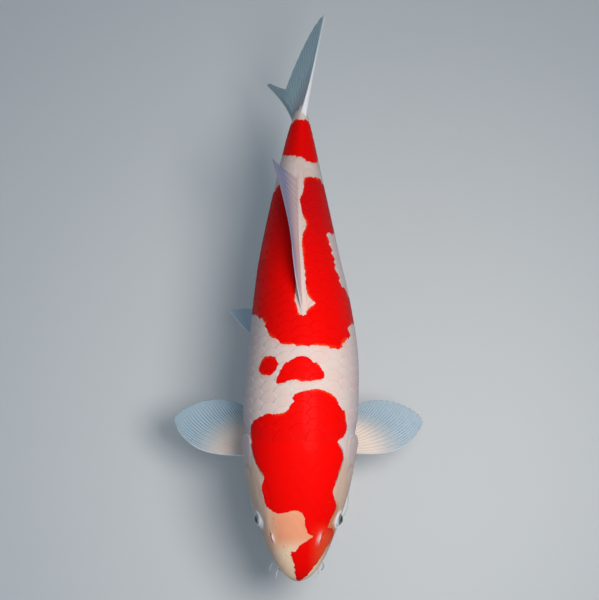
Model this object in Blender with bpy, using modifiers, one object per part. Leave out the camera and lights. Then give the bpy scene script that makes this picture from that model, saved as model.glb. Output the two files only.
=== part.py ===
"""A koi carp, swimming level, held over a display stand. Metres, +Z up.

The head points to -Y, the back to +Z and the fish's left side to +X.
The origin is the centre of the stand's underside. The fish's own frame starts at the snout:
X across, Y back along the body, Z up from the body's axis. A station is a share of the body's
length from the snout, and a girth is an angle round the body: 0 on the back, 90 degrees on the
fish's left side, 180 on the belly.
"""

import math

import bmesh
import bpy
from mathutils import Vector

# Driving sizes
BODY_LENGTH = 0.5506  # snout to the end of the tail stalk
SNOUT_Y = -0.236
AXIS_HEIGHT = 0.155  # the body's axis over the surface that the stand is on
GAP = 0.0003  # left between pieces that meet
SIDES = 36  # facets round the body

# The body's form: (station, share of the body's length)
HALF_WIDTH = (
    (0.0, 0.0), (0.02, 0.0345), (0.06, 0.0590), (0.12, 0.0822), (0.17, 0.0985), (0.22, 0.1092),
    (0.28, 0.1162), (0.36, 0.1177), (0.44, 0.1150), (0.52, 0.1075), (0.60, 0.0972),
    (0.70, 0.0795), (0.80, 0.0600), (0.90, 0.0395), (0.96, 0.0262), (1.0, 0.0140),
)
BACK = (
    (0.0, -0.010), (0.02, 0.025), (0.06, 0.051), (0.12, 0.080), (0.18, 0.103), (0.25, 0.124),
    (0.33, 0.139), (0.42, 0.147), (0.50, 0.148), (0.60, 0.137), (0.70, 0.116), (0.80, 0.090),
    (0.90, 0.069), (0.96, 0.063), (1.0, 0.062),
)
BELLY = (
    (0.0, -0.010), (0.02, -0.041), (0.06, -0.065), (0.12, -0.087), (0.18, -0.104),
    (0.25, -0.121), (0.33, -0.133), (0.42, -0.141), (0.50, -0.139), (0.60, -0.125),
    (0.70, -0.101), (0.80, -0.073), (0.90, -0.055), (0.96, -0.053), (1.0, -0.056),
)
WIDEST_LEVEL = (
    (0.0, -0.010), (0.06, -0.008), (0.12, -0.006), (0.20, -0.006), (0.30, -0.002),
    (0.45, 0.004), (0.60, 0.004), (0.80, 0.006), (1.0, 0.003),
)
SIDEWAYS = (
    (0.0, -0.0020), (0.15, -0.0015), (0.27, 0.0005), (0.36, 0.0035), (0.47, 0.0075),
    (0.58, 0.0040), (0.66, 0.0003), (0.80, -0.0004), (1.0, 0.0004),
)
# Squareness of the section over and under its widest level: 2 is an ellipse
BACK_POWER = (
    (0.0, 2.0), (0.05, 2.1), (0.12, 2.35), (0.20, 2.3), (0.30, 2.15), (0.50, 2.0), (1.0, 2.0),
)
BELLY_POWER = (
    (0.0, 2.0), (0.05, 2.2), (0.12, 2.3), (0.25, 2.35), (0.45, 2.35), (0.60, 2.15), (1.0, 2.0),
)
# Sideways lean of the section, as a slope: the tail stalk rolls a little to the fish's left
LEAN = ((0.0, 0.0), (0.80, 0.0), (0.90, 0.025), (1.0, 0.09))

# Where the body is parted
TRUNK_PART = 0.50
STALK_PART = 0.80
NAPE = 0.245
SHOULDER_BULGE = 0.030
SHOULDER_GIRTH = math.radians(88)
SHOULDER_SPREAD = math.radians(40)
THROAT_SHIFT = 0.010

# Gill cover: an egg-shaped plate let into the side of the head
COVER_STATION = 0.211
COVER_HALF_LENGTH = 0.056
COVER_GIRTH = math.radians(98)
COVER_HALF_GIRTH = math.radians(42)
COVER_SKEW = 0.036
COVER_DEPTH = 0.0036
COVER_LIFT = 0.0014  # rise at the rear edge, and more at its upper corner
COVER_ROOM = 1.01  # size of the room that it lies in, as a share of its own
COVER_SPOKES = 24
COVER_RINGS = 4

EYE_STATION = 0.117
EYE_RADIUS = 0.0088
EYE_X = 0.0393
EYE_Z = 0.0105

ROD_RADIUS = 0.0045
ROD_FOOT_RADIUS = 0.013
ROD_FOOT_HEIGHT = 0.004
ROD_SET_IN = 0.014
ROD_STATIONS = {"front": 0.30, "rear": 0.60}
BASE_SIZE = (0.120, 0.320, 0.012)
BASE_CORNER = 0.030
BASE_EDGE = 0.002

COLOURS = {
    "white": (0.80, 0.70, 0.64),
    "red": (0.72, 0.03, 0.02),
    "head": (0.84, 0.62, 0.48),
    "fin": (0.74, 0.76, 0.76),
    "eye": (0.03, 0.05, 0.06),
    "barbel": (0.80, 0.62, 0.50),
    "base": (0.72, 0.72, 0.70),
    "steel": (0.62, 0.62, 0.62),
}


def clear_scene():
    for obj in list(bpy.data.objects):
        bpy.data.objects.remove(obj, do_unlink=True)


def new_collection(name):
    collection = bpy.data.collections.new(name)
    bpy.context.scene.collection.children.link(collection)
    return collection


def new_material(name, colour, roughness, metallic):
    material = bpy.data.materials.new(name)
    material.use_nodes = True
    shader = material.node_tree.nodes["Principled BSDF"]
    shader.inputs["Base Color"].default_value = (*colour, 1.0)
    shader.inputs["Roughness"].default_value = roughness
    shader.inputs["Metallic"].default_value = metallic
    return material


def add_part(name, mesh, colour="white", roughness=0.35, metallic=0.0, parent=None):
    """Links a piece of the model, with its own material."""
    obj = bpy.data.objects.new(name, mesh)
    obj.data.materials.append(new_material(name, COLOURS[colour], roughness, metallic))
    PARTS.objects.link(obj)
    obj.parent = parent
    return obj


def add_cutter(name, mesh, parent=None):
    obj = bpy.data.objects.new(name, mesh)
    CUTTERS.objects.link(obj)
    obj.parent = parent
    obj.hide_render = True
    obj.display_type = "WIRE"
    return obj


def cut(obj, cutter, operation="DIFFERENCE"):
    modifier = obj.modifiers.new(cutter.name, "BOOLEAN")
    modifier.operation = operation
    modifier.solver = "EXACT"
    modifier.object = cutter


def mesh_from(bm, name, smooth_angle=math.radians(40), turn_faces_out=True):
    """Turns a bmesh into a mesh with its faces outward and its round parts smooth."""
    if turn_faces_out:
        bmesh.ops.recalc_face_normals(bm, faces=bm.faces[:])
    mesh = bpy.data.meshes.new(name)
    bm.to_mesh(mesh)
    bm.free()
    mesh.shade_smooth()
    mesh.set_sharp_from_angle(angle=smooth_angle)
    return mesh


# ---- the body's form


def along(table, station):
    """A table's value at a station. It is a smooth curve in the station's square root, which
    makes the snout round."""
    spots = [math.sqrt(row[0]) for row in table]
    values = [row[1] for row in table]
    spot = math.sqrt(max(station, 0.0))
    i = 0
    while i < len(spots) - 2 and spot > spots[i + 1]:
        i += 1
    span = spots[i + 1] - spots[i]
    share = min((spot - spots[i]) / span, 1.0)
    start = slope_at(spots, values, i) * span
    end = slope_at(spots, values, i + 1) * span
    square = share * share
    cube = square * share
    return (
        (2 * cube - 3 * square + 1) * values[i]
        + (cube - 2 * square + share) * start
        + (3 * square - 2 * cube) * values[i + 1]
        + (cube - square) * end
    )


def slope_at(spots, values, i):
    before = max(i - 1, 0)
    after = min(i + 1, len(spots) - 1)
    return (values[after] - values[before]) / (spots[after] - spots[before])


def signed_power(value, power):
    return math.copysign(abs(value) ** power, value)


def body_point(station, girth, grow=0.0):
    """A point of the body's surface, or of one that lies outside it by grow."""
    level = BODY_LENGTH * along(WIDEST_LEVEL, station)
    if math.cos(girth) >= 0:
        height = BODY_LENGTH * along(BACK, station) - level
        power = 2 / along(BACK_POWER, station)
    else:
        height = level - BODY_LENGTH * along(BELLY, station)
        power = 2 / along(BELLY_POWER, station)
    width = BODY_LENGTH * along(HALF_WIDTH, station)
    x = (width + grow) * signed_power(math.sin(girth), power)
    z = level + (height + grow) * signed_power(math.cos(girth), power)
    x += BODY_LENGTH * along(SIDEWAYS, station) + along(LEAN, station) * z
    return Vector((x, BODY_LENGTH * station, z))


def body_normal(station, girth):
    """The direction straight out of the body's surface."""
    step = 0.002
    back = body_point(station + step, girth) - body_point(station - step, girth)
    round_it = body_point(station, girth + step) - body_point(station, girth - step)
    return round_it.cross(back).normalized()


def shoulder_edge(girth):
    """Station at which the head meets the trunk: further back on the sides, behind the gills."""
    from_back = abs(math.remainder(girth, 2 * math.pi))
    bulge = math.exp(-(((from_back - SHOULDER_GIRTH) / SHOULDER_SPREAD) ** 2))
    return NAPE + SHOULDER_BULGE * bulge - THROAT_SHIFT * (1 - math.cos(girth)) / 2


def stalk_edge(girth):
    """The end of the tail stalk, a little rounder back on its sides."""
    return 0.975 + 0.022 * math.sin(girth) ** 2


def at(station):
    return lambda girth: station


def shifted(edge, distance):
    return lambda girth: edge(girth) + distance / BODY_LENGTH


def body_length(name, front, rear, rings, grow=0.0):
    """The body between two edges, each a function from girth to station. With no front edge it
    starts at the snout's tip."""
    bm = bmesh.new()
    loops = []
    for k in range(0 if front else 1, rings + 1):
        loop = []
        for side in range(SIDES):
            girth = 2 * math.pi * side / SIDES
            start = math.sqrt(front(girth)) if front else 0.0
            end = math.sqrt(rear(girth))
            station = (start + (end - start) * k / rings) ** 2
            loop.append(bm.verts.new(body_point(station, girth, grow)))
        loops.append(loop)
    for fore, aft in zip(loops, loops[1:]):
        for side in range(SIDES):
            after = (side + 1) % SIDES
            bm.faces.new((fore[side], fore[after], aft[after], aft[side]))
    tip = None if front else body_point(0.0, 0.0) - Vector((0.0, grow, 0.0))
    close_with_fan(bm, loops[0], tip)
    close_with_fan(bm, loops[-1], None)
    return mesh_from(bm, name)


def close_with_fan(bm, loop, middle):
    """Closes a loop with triangles to a point, by default the loop's own middle."""
    if middle is None:
        middle = sum((vert.co for vert in loop), Vector()) / len(loop)
    hub = bm.verts.new(middle)
    for vert, after in zip(loop, loop[1:] + loop[:1]):
        bm.faces.new((vert, after, hub))


# ---- gill covers, jaw and eyes


def cover_spot(spoke, reach):
    """Station and girth of a spot on the gill cover, on the fish's left side."""
    turn = 2 * math.pi * spoke / COVER_SPOKES
    over = reach * signed_power(math.sin(turn), 0.8)
    back = reach * signed_power(math.cos(turn), 0.8)
    station = COVER_STATION + COVER_HALF_LENGTH * back - COVER_SKEW * over
    return station, COVER_GIRTH + COVER_HALF_GIRTH * over


def cover_plate(name, side, spread, inner, outer):
    """The gill cover's plate between two depths: side is 1 on the fish's left and -1 on its right,
    and outer is a function from a share of the plate's length to the height over the skin."""
    bm = bmesh.new()
    skins = []
    for height in (lambda back: inner, outer):
        rings = []
        for ring in range(COVER_RINGS + 1):
            reach = spread * ring / COVER_RINGS
            loop = []
            for spoke in range(COVER_SPOKES if ring else 1):
                station, girth = cover_spot(spoke, reach)
                back = (station - COVER_STATION) / COVER_HALF_LENGTH
                point = body_point(station, side * girth)
                out = body_normal(station, side * girth)
                loop.append(bm.verts.new(point + out * height(back)))
            rings.append(loop)
        hub = rings[0][0]
        for spoke in range(COVER_SPOKES):
            after = (spoke + 1) % COVER_SPOKES
            bm.faces.new((hub, rings[1][spoke], rings[1][after]))
            for near, far in zip(rings[1:], rings[2:]):
                bm.faces.new((near[spoke], far[spoke], far[after], near[after]))
        skins.append(rings[-1])
    below, above = skins
    for spoke in range(COVER_SPOKES):
        after = (spoke + 1) % COVER_SPOKES
        bm.faces.new((below[spoke], below[after], above[after], above[spoke]))
    return mesh_from(bm, name)


def cover_height(back):
    """Nearly flush in front, and rising to the rear edge and its upper corner."""
    return 0.0002 + COVER_LIFT * max(back, 0.0) ** 2


def prism(name, outline, half_width):
    """A flat outline of (station, height) points, drawn out to both sides."""
    bm = bmesh.new()
    verts = [bm.verts.new((-half_width, BODY_LENGTH * s, BODY_LENGTH * z)) for s, z in outline]
    face = bm.faces.new(verts)
    drawn = bmesh.ops.extrude_face_region(bm, geom=[face])
    moved = [item for item in drawn["geom"] if isinstance(item, bmesh.types.BMVert)]
    bmesh.ops.translate(bm, verts=moved, vec=(2 * half_width, 0.0, 0.0))
    return mesh_from(bm, name)


def jaw_outline(clearance):
    """The lower jaw's room: under the mouth's slit, and in front of the throat."""
    slack = clearance / BODY_LENGTH
    return (
        (-0.02, -0.016 + slack),
        (0.062 + slack, -0.041 + slack),
        (0.110 + 1.5 * slack, -0.120),
        (-0.02, -0.120),
    )


def ball(name, radius, segments=16, rings=10):
    bm = bmesh.new()
    bmesh.ops.create_uvsphere(bm, u_segments=segments, v_segments=rings, radius=radius)
    for vert in bm.verts:
        vert.co = Vector((vert.co.z, vert.co.x, vert.co.y))
    return mesh_from(bm, name, math.pi, turn_faces_out=False)


# ---- fins


def blend(start, end, share, power=1.0):
    return start + (end - start) * share**power


def ray_point(root, direction, length, bow, share):
    """A spot on a fin ray: straight from its root, but bowed aside in the middle."""
    return root + direction.normalized() * length * share + bow * 4 * share * (1 - share)


def dorsal_ray(place, share):
    """Folded back, and leaning over to the fish's right more and more towards the tail."""
    station = blend(0.500, 0.815, place)
    root = body_point(station, 0.0) - Vector((0.0, 0.0, 0.004))
    rise = math.radians(blend(24, 62, place))
    lean = math.radians(blend(22, 60, place, 2.5))
    length = 0.004 + blend(0.074, 0.037, place, 0.6)
    direction = Vector(
        (-math.sin(rise) * math.sin(lean), math.cos(rise), math.sin(rise) * math.cos(lean))
    )
    return ray_point(root, direction, length, Vector((-0.0015, -0.001, 0.003)), share)


def anal_ray(place, share):
    station = blend(0.775, 0.835, place)
    root = body_point(station, math.pi) + Vector((0.0, 0.0, 0.004))
    fall = math.radians(blend(54, 38, place))
    length = 0.004 + blend(0.066, 0.034, place, 0.7)
    direction = Vector((-0.06, math.cos(fall), -math.sin(fall)))
    return ray_point(root, direction, length, Vector((0.0, -0.002, -0.002)), share)


def tail_ray(place, share):
    """A tail fin ray: place runs from -1 at the lower lobe's edge to 1 at the upper one's. The
    upper lobe sweeps to the fish's left and the lower one to its right."""
    spread = abs(place)
    upper = place > 0
    root_z = BODY_LENGTH * (0.003 + 0.053 * place)
    root_x = BODY_LENGTH * along(SIDEWAYS, 1.0) + along(LEAN, 1.0) * root_z
    root = Vector((root_x, BODY_LENGTH * 0.972, root_z))
    reach = (0.128 if upper else 0.092) * spread * (1 - 0.16 * spread**6)
    tip_z = BODY_LENGTH * math.copysign((0.138 if upper else 0.128) * spread**0.95, place)
    tip_x = -0.017 + 0.037 * place + 0.011 * place * place
    tip = Vector((tip_x, BODY_LENGTH * (1.072 + reach), tip_z))
    spot = root.lerp(tip, share)
    spot.x = blend(root_x, tip_x, share, 0.85 if upper else 0.85 + 0.9 * spread)
    spot.z += (0.007 if upper else -0.004) * place * 4 * share * (1 - share)
    return spot


def pectoral_ray(side, place, share):
    """Spread level from behind the gill cover: place runs from the leading ray to the last."""
    reach = 1.0 if side > 0 else 1.05
    ahead = 0.0 if side > 0 else 0.003
    root = Vector((side * 0.045, 0.146 - ahead + 0.022 * place, -0.045 - 0.006 * place))
    swing = math.radians(20 + 42 * place**1.35 + (0 if side > 0 else 2))
    length = 0.007 + reach * (0.1030 - 0.070 * place**1.5 - 0.007 * (1 - place) ** 12)
    direction = Vector((side * math.cos(swing), math.sin(swing), -0.03))
    forward = 0.020 * (1 - place) ** 1.3 * (0.5 + 0.84 * share)
    bow = Vector((side * forward * math.sin(swing), -forward * math.cos(swing), 0.004))
    return ray_point(root, direction, length, bow, share)


def pelvic_ray(side, place, share):
    """Swept back under the belly: the right one is spread wider than the left."""
    wide = side < 0
    root = body_point(blend(0.470, 0.500, place), side * math.radians(157))
    root += Vector((-side * 0.003, 0.0, 0.005))
    lead = Vector((side * (0.074 if wide else 0.026), 0.080, -0.018))
    last = Vector((side * (0.020 if wide else 0.008), 0.050, -0.012))
    length = 0.006 + blend(0.092 if wide else 0.088, 0.046, place, 1.3)
    direction = lead.normalized().lerp(last.normalized(), place)
    return ray_point(root, direction, length, Vector((0.0, -0.004 * (1 - place), 0.002)), share)


def add_fin(name, ray, rays, steps, root_thickness, edge_thickness, parent):
    """A fin's blade: a grid laid along its rays, thick at the root and thin at the edge."""
    bm = bmesh.new()
    bmesh.ops.create_grid(bm, x_segments=rays - 1, y_segments=steps, size=0.5)
    shares = []
    for vert in bm.verts:
        share = vert.co.y + 0.5
        shares.append(share)
        vert.co = ray(vert.co.x + 0.5, share)
    mesh = mesh_from(bm, name)
    fin = add_part(name, mesh, "fin", 0.4, 0.0, parent)
    root = fin.vertex_groups.new(name="root")
    for index, share in enumerate(shares):
        root.add([index], (1 - share) ** 3, "REPLACE")
    solid = fin.modifiers.new("blade", "SOLIDIFY")
    solid.thickness = root_thickness
    solid.offset = 0.0
    solid.vertex_group = root.name
    solid.thickness_vertex_group = edge_thickness / root_thickness
    return fin


# ---- barbels


def add_barbel(name, points, thickness, parent):
    """A feeler, tapering to its tip."""
    curve = bpy.data.curves.new(name, "CURVE")
    curve.dimensions = "3D"
    curve.bevel_depth = thickness / 2
    curve.bevel_resolution = 2
    curve.use_fill_caps = True
    spline = curve.splines.new("POLY")
    spline.points.add(len(points) - 1)
    for index, point in enumerate(points):
        spline.points[index].co = (*point, 1.0)
        spline.points[index].radius = 1.0 - 0.45 * index / (len(points) - 1)
    curve.materials.append(new_material(name, COLOURS["barbel"], 0.4, 0.0))
    obj = bpy.data.objects.new(name, curve)
    PARTS.objects.link(obj)
    obj.parent = parent


def barbel_points(root, bend, tip, count=7):
    """Spots along a curve that leaves the root towards the bend and ends at the tip."""
    spots = []
    for k in range(count):
        share = k / (count - 1)
        spots.append(root.lerp(bend, share).lerp(bend.lerp(tip, share), share))
    return spots


# ---- stand


def add_rod(name, station):
    """A turned rod with a foot, standing on the base and set into the belly. Its socket is cut
    from the trunk by the cutter that it returns."""
    foot = BASE_SIZE[2] + GAP
    y = SNOUT_Y + BODY_LENGTH * station
    top = AXIS_HEIGHT + body_point(station, math.pi).z + ROD_SET_IN
    chamfer = 0.0008
    profile = (
        (0.0, top),
        (ROD_RADIUS - chamfer, top),
        (ROD_RADIUS, top - chamfer),
        (ROD_RADIUS, foot + ROD_FOOT_HEIGHT + chamfer),
        (ROD_RADIUS + chamfer, foot + ROD_FOOT_HEIGHT),
        (ROD_FOOT_RADIUS - chamfer, foot + ROD_FOOT_HEIGHT),
        (ROD_FOOT_RADIUS, foot + ROD_FOOT_HEIGHT - chamfer),
        (ROD_FOOT_RADIUS, foot),
        (0.0, foot),
    )
    rod = add_part(name, turned_mesh(name, profile), "steel", 0.3, 1.0)
    rod.location = (0.0, y, 0.0)
    turn(rod)
    socket = (
        (0.0, top + GAP),
        (ROD_RADIUS + GAP, top + GAP),
        (ROD_RADIUS + GAP, top - 2 * ROD_SET_IN),
        (0.0, top - 2 * ROD_SET_IN),
    )
    cutter = add_cutter(name + "_socket", turned_mesh(name + "_socket", socket))
    cutter.location = rod.location
    turn(cutter)
    return cutter


def turned_mesh(name, profile):
    mesh = bpy.data.meshes.new(name)
    verts = [(x, 0.0, z) for x, z in profile]
    edges = [(i, i + 1) for i in range(len(profile) - 1)]
    mesh.from_pydata(verts, edges, [])
    return mesh


def turn(obj):
    screw = obj.modifiers.new("turned", "SCREW")
    screw.steps = 16
    screw.render_steps = 16
    screw.use_merge_vertices = True
    screw.merge_threshold = 0.00005
    screw.use_smooth_shade = True


def add_base():
    bm = bmesh.new()
    bmesh.ops.create_cube(bm, size=1.0)
    width, length, height = BASE_SIZE
    for vert in bm.verts:
        vert.co = Vector((vert.co.x * width, vert.co.y * length, (vert.co.z + 0.5) * height))
    upright = [edge for edge in bm.edges if abs(edge.verts[0].co.z - edge.verts[1].co.z) > 0.001]
    bmesh.ops.bevel(bm, geom=upright, offset=BASE_CORNER, segments=6, affect="EDGES", profile=0.5)
    base = add_part("stand_base", mesh_from(bm, "stand_base"), "base", 0.35)
    bevel = base.modifiers.new("edge", "BEVEL")
    bevel.width = BASE_EDGE
    bevel.segments = 2
    bevel.limit_method = "ANGLE"
    bevel.angle_limit = math.radians(60)


def build():
    fish = bpy.data.objects.new("fish_axis", None)
    PARTS.objects.link(fish)
    fish.location = (0.0, SNOUT_Y, AXIS_HEIGHT)
    half = GAP / 2

    # Head and lower jaw
    head_rear = shifted(shoulder_edge, -half)
    head = add_part("head", body_length("head", None, head_rear, 14), "head", parent=fish)
    jaw_front = body_length("lower_jaw", None, at(0.13), 9)
    jaw = add_part("lower_jaw", jaw_front, "head", parent=fish)
    cut(jaw, add_cutter("jaw_room", prism("jaw_room", jaw_outline(0.0), 0.07), fish), "INTERSECT")
    cut(head, add_cutter("jaw_gap", prism("jaw_gap", jaw_outline(GAP), 0.08), fish))

    # Trunk and tail stalk
    trunk_front = add_part(
        "trunk_front",
        body_length("trunk_front", shifted(shoulder_edge, half), at(TRUNK_PART), 7),
        "white",
        parent=fish,
    )
    trunk_start = shifted(at(TRUNK_PART), GAP)
    trunk_rear = add_part(
        "trunk_rear",
        body_length("trunk_rear", trunk_start, at(STALK_PART), 8),
        "red",
        parent=fish,
    )
    stalk_start = shifted(at(STALK_PART), GAP)
    add_part("tail_stalk", body_length("tail_stalk", stalk_start, stalk_edge, 6), "red", parent=fish)

    # Gill covers and eyes
    for side, word in ((1, "left"), (-1, "right")):
        name = "gill_cover_" + word
        plate = cover_plate(name, side, 1.0, -COVER_DEPTH, cover_height)
        add_part(name, plate, "head", parent=fish)
        room_floor = -COVER_DEPTH - 2 * GAP
        room = cover_plate(name + "_room", side, COVER_ROOM, room_floor, lambda back: 0.008)
        cover_room = add_cutter(name + "_room", room, fish)
        cut(head, cover_room)
        cut(trunk_front, cover_room)

        middle = BODY_LENGTH * along(SIDEWAYS, EYE_STATION)
        place = Vector((middle + side * EYE_X, BODY_LENGTH * EYE_STATION, EYE_Z))
        eye = add_part("eye_" + word, ball("eye_" + word, EYE_RADIUS), "eye", 0.1, 0.0, fish)
        eye.location = place
        socket_name = "eye_socket_" + word
        socket = add_cutter(socket_name, ball(socket_name, EYE_RADIUS + GAP), fish)
        socket.location = place
        cut(head, socket)

    # Fins, each trimmed to the body
    skin_rear = shifted(stalk_edge, GAP)
    clearance = add_cutter(
        "body_clearance",
        body_length("body_clearance", at(0.16), skin_rear, 28, GAP),
        fish,
    )
    fins = [
        add_fin("dorsal_fin", dorsal_ray, 15, 5, 0.0022, 0.0011, fish),
        add_fin("anal_fin", anal_ray, 7, 4, 0.0024, 0.0011, fish),
        add_fin("tail_fin", lambda u, r: tail_ray(2 * u - 1, r), 19, 7, 0.0080, 0.0012, fish),
    ]
    for side, word in ((1, "left"), (-1, "right")):
        pectoral = lambda u, r, side=side: pectoral_ray(side, u, r)
        pelvic = lambda u, r, side=side: pelvic_ray(side, u, r)
        fins.append(add_fin("pectoral_fin_" + word, pectoral, 12, 7, 0.0080, 0.0012, fish))
        fins.append(add_fin("pelvic_fin_" + word, pelvic, 8, 5, 0.0060, 0.0012, fish))
    for fin in fins:
        cut(fin, clearance)

    # Barbels: one pair hangs from the corners of the mouth, one from the upper lip
    for side, word in ((1, "left"), (-1, "right")):
        swing = -0.004 if side > 0 else 0.003
        corner = body_point(0.042, side * math.radians(122), 0.0010)
        bend = corner + Vector((side * 0.0080, -0.003, -0.004))
        tip = corner + Vector((side * (0.0055 + swing), -0.009, -0.023))
        add_barbel("barbel_corner_" + word, barbel_points(corner, bend, tip), 0.0026, fish)
        lip = body_point(0.024, side * math.radians(101), 0.0009)
        bend = lip + Vector((side * 0.0045, -0.003, -0.001))
        tip = lip + Vector((side * (0.0010 + swing), -0.009, -0.010))
        add_barbel("barbel_lip_" + word, barbel_points(lip, bend, tip, 6), 0.0018, fish)

    # Stand
    add_base()
    cut(trunk_front, add_rod("stand_rod_front", ROD_STATIONS["front"]))
    cut(trunk_rear, add_rod("stand_rod_rear", ROD_STATIONS["rear"]))


clear_scene()
PARTS = new_collection("koi_carp")
CUTTERS = new_collection("cutters")
build()
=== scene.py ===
import math

import bpy
import numpy as np
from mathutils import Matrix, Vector


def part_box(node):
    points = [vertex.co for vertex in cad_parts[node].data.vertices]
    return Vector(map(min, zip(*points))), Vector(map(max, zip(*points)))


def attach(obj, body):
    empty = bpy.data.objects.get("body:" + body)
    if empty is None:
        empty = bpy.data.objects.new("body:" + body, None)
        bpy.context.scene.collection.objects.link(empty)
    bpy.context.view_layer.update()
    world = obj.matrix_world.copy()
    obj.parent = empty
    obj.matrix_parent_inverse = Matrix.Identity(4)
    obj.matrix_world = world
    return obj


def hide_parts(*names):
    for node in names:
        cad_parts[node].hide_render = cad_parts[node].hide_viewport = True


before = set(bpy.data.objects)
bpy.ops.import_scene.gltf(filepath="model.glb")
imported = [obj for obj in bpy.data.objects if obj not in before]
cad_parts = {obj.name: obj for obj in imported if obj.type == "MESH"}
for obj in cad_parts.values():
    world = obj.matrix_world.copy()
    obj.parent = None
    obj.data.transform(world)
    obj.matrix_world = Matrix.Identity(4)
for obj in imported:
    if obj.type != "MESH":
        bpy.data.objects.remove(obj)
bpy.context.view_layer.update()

# A koi carp over its stand. Lengths are metres unless a name or note says millimetres.
# The fish's own frame starts at its snout, on the body's axis: X to its left, Y back, Z up.
# A station is a share of the body's length from the snout. A share round the body runs from 0
# on the back to 1 on the belly, and is negative on the fish's right.
mm = 0.001
eyeLow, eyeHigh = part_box("eye_left")
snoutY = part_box("head")[0].y
axisHeight = (eyeLow.z + eyeHigh.z) / 2 - 0.0105
bodyLength = (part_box("tail_stalk")[1].y - snoutY) / 0.997
origin = np.array([0.0, snoutY, axisHeight])
lengthMm = bodyLength / mm

body = {
    "halfWidth": (
        (0.0, 0.0), (0.02, 0.0345), (0.06, 0.0590), (0.12, 0.0822), (0.17, 0.0985),
        (0.22, 0.1092), (0.28, 0.1162), (0.36, 0.1177), (0.44, 0.1150), (0.52, 0.1075),
        (0.60, 0.0972), (0.70, 0.0795), (0.80, 0.0600), (0.90, 0.0395), (0.96, 0.0262),
        (1.0, 0.0140),
    ),
    "back": (
        (0.0, -0.010), (0.02, 0.025), (0.06, 0.051), (0.12, 0.080), (0.18, 0.103),
        (0.25, 0.124), (0.33, 0.139), (0.42, 0.147), (0.50, 0.148), (0.60, 0.137),
        (0.70, 0.116), (0.80, 0.090), (0.90, 0.069), (0.96, 0.063), (1.0, 0.062),
    ),
    "belly": (
        (0.0, -0.010), (0.02, -0.041), (0.06, -0.065), (0.12, -0.087), (0.18, -0.104),
        (0.25, -0.121), (0.33, -0.133), (0.42, -0.141), (0.50, -0.139), (0.60, -0.125),
        (0.70, -0.101), (0.80, -0.073), (0.90, -0.055), (0.96, -0.053), (1.0, -0.056),
    ),
    "widestLevel": (
        (0.0, -0.010), (0.06, -0.008), (0.12, -0.006), (0.20, -0.006), (0.30, -0.002),
        (0.45, 0.004), (0.60, 0.004), (0.80, 0.006), (1.0, 0.003),
    ),
    "sideways": (
        (0.0, -0.0020), (0.15, -0.0015), (0.27, 0.0005), (0.36, 0.0035), (0.47, 0.0075),
        (0.58, 0.0040), (0.66, 0.0003), (0.80, -0.0004), (1.0, 0.0004),
    ),
    "backPower": (
        (0.0, 2.0), (0.05, 2.1), (0.12, 2.35), (0.20, 2.3), (0.30, 2.15), (0.50, 2.0), (1.0, 2.0),
    ),
    "bellyPower": (
        (0.0, 2.0), (0.05, 2.2), (0.12, 2.3), (0.25, 2.35), (0.45, 2.35), (0.60, 2.15), (1.0, 2.0),
    ),
    "lean": ((0.0, 0.0), (0.80, 0.0), (0.90, 0.025), (1.0, 0.09)),
    "chartRows": 900,
    "chartColumns": 1201,
}


def along(table, station):
    # A smooth curve in the station's square root, which makes the snout round
    spots = np.sqrt([row[0] for row in table])
    values = np.array([row[1] for row in table])
    number = np.arange(len(spots))
    before, after = np.maximum(number - 1, 0), np.minimum(number + 1, len(spots) - 1)
    slopes = (values[after] - values[before]) / (spots[after] - spots[before])
    spot = np.sqrt(np.maximum(station, 0.0))
    i = np.searchsorted(spots[1:-1], spot)
    span = spots[i + 1] - spots[i]
    share = np.minimum((spot - spots[i]) / span, 1.0)
    square, cube = share**2, share**3
    return (
        (2 * cube - 3 * square + 1) * values[i]
        + (cube - 2 * square + share) * slopes[i] * span
        + (3 * square - 2 * cube) * values[i + 1]
        + (cube - square) * slopes[i + 1] * span
    )


def signedPower(value, power):
    return np.sign(value) * np.abs(value) ** power


def smooth(value, low, high):
    share = np.clip((value - low) / (high - low), 0.0, 1.0)
    return share * share * (3 - 2 * share)


def bell(value, width):
    return np.exp(-((value / width) ** 2))


def blend(start, end, share, power=1.0):
    return start + (end - start) * share**power


def unit(vectors):
    return vectors / np.maximum(np.linalg.norm(vectors, axis=-1, keepdims=True), 1e-12)


def bodyPoint(station, girth, straight=False):
    # Girth is the angle round the body from the back, as the solids have it
    level = bodyLength * along(body["widestLevel"], station)
    upper = np.cos(girth) >= 0
    rise = bodyLength * along(body["back"], station) - level
    fall = level - bodyLength * along(body["belly"], station)
    power = 2 / np.where(
        upper, along(body["backPower"], station), along(body["bellyPower"], station)
    )
    width = bodyLength * along(body["halfWidth"], station)
    x = width * signedPower(np.sin(girth), power)
    z = level + np.where(upper, rise, fall) * signedPower(np.cos(girth), power)
    if not straight:
        x = x + bodyLength * along(body["sideways"], station) + along(body["lean"], station) * z
    return np.stack([x, bodyLength * station + 0 * x, z], -1)


def evenGirths(stations, count):
    # Girths that part each half loop into lengths that are all the same, and that loop's length
    fine = np.linspace(0.0, math.pi, 721)
    loops = bodyPoint(stations[:, None], fine[None, :], straight=True)
    steps = np.linalg.norm(np.diff(loops, axis=1), axis=-1)
    run = np.concatenate([np.zeros((len(stations), 1)), np.cumsum(steps, axis=1)], axis=1)
    targets = np.linspace(0.0, 1.0, count)
    girths = np.array([np.interp(targets * row[-1], row, fine) for row in run])
    return girths, run[:, -1]


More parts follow.
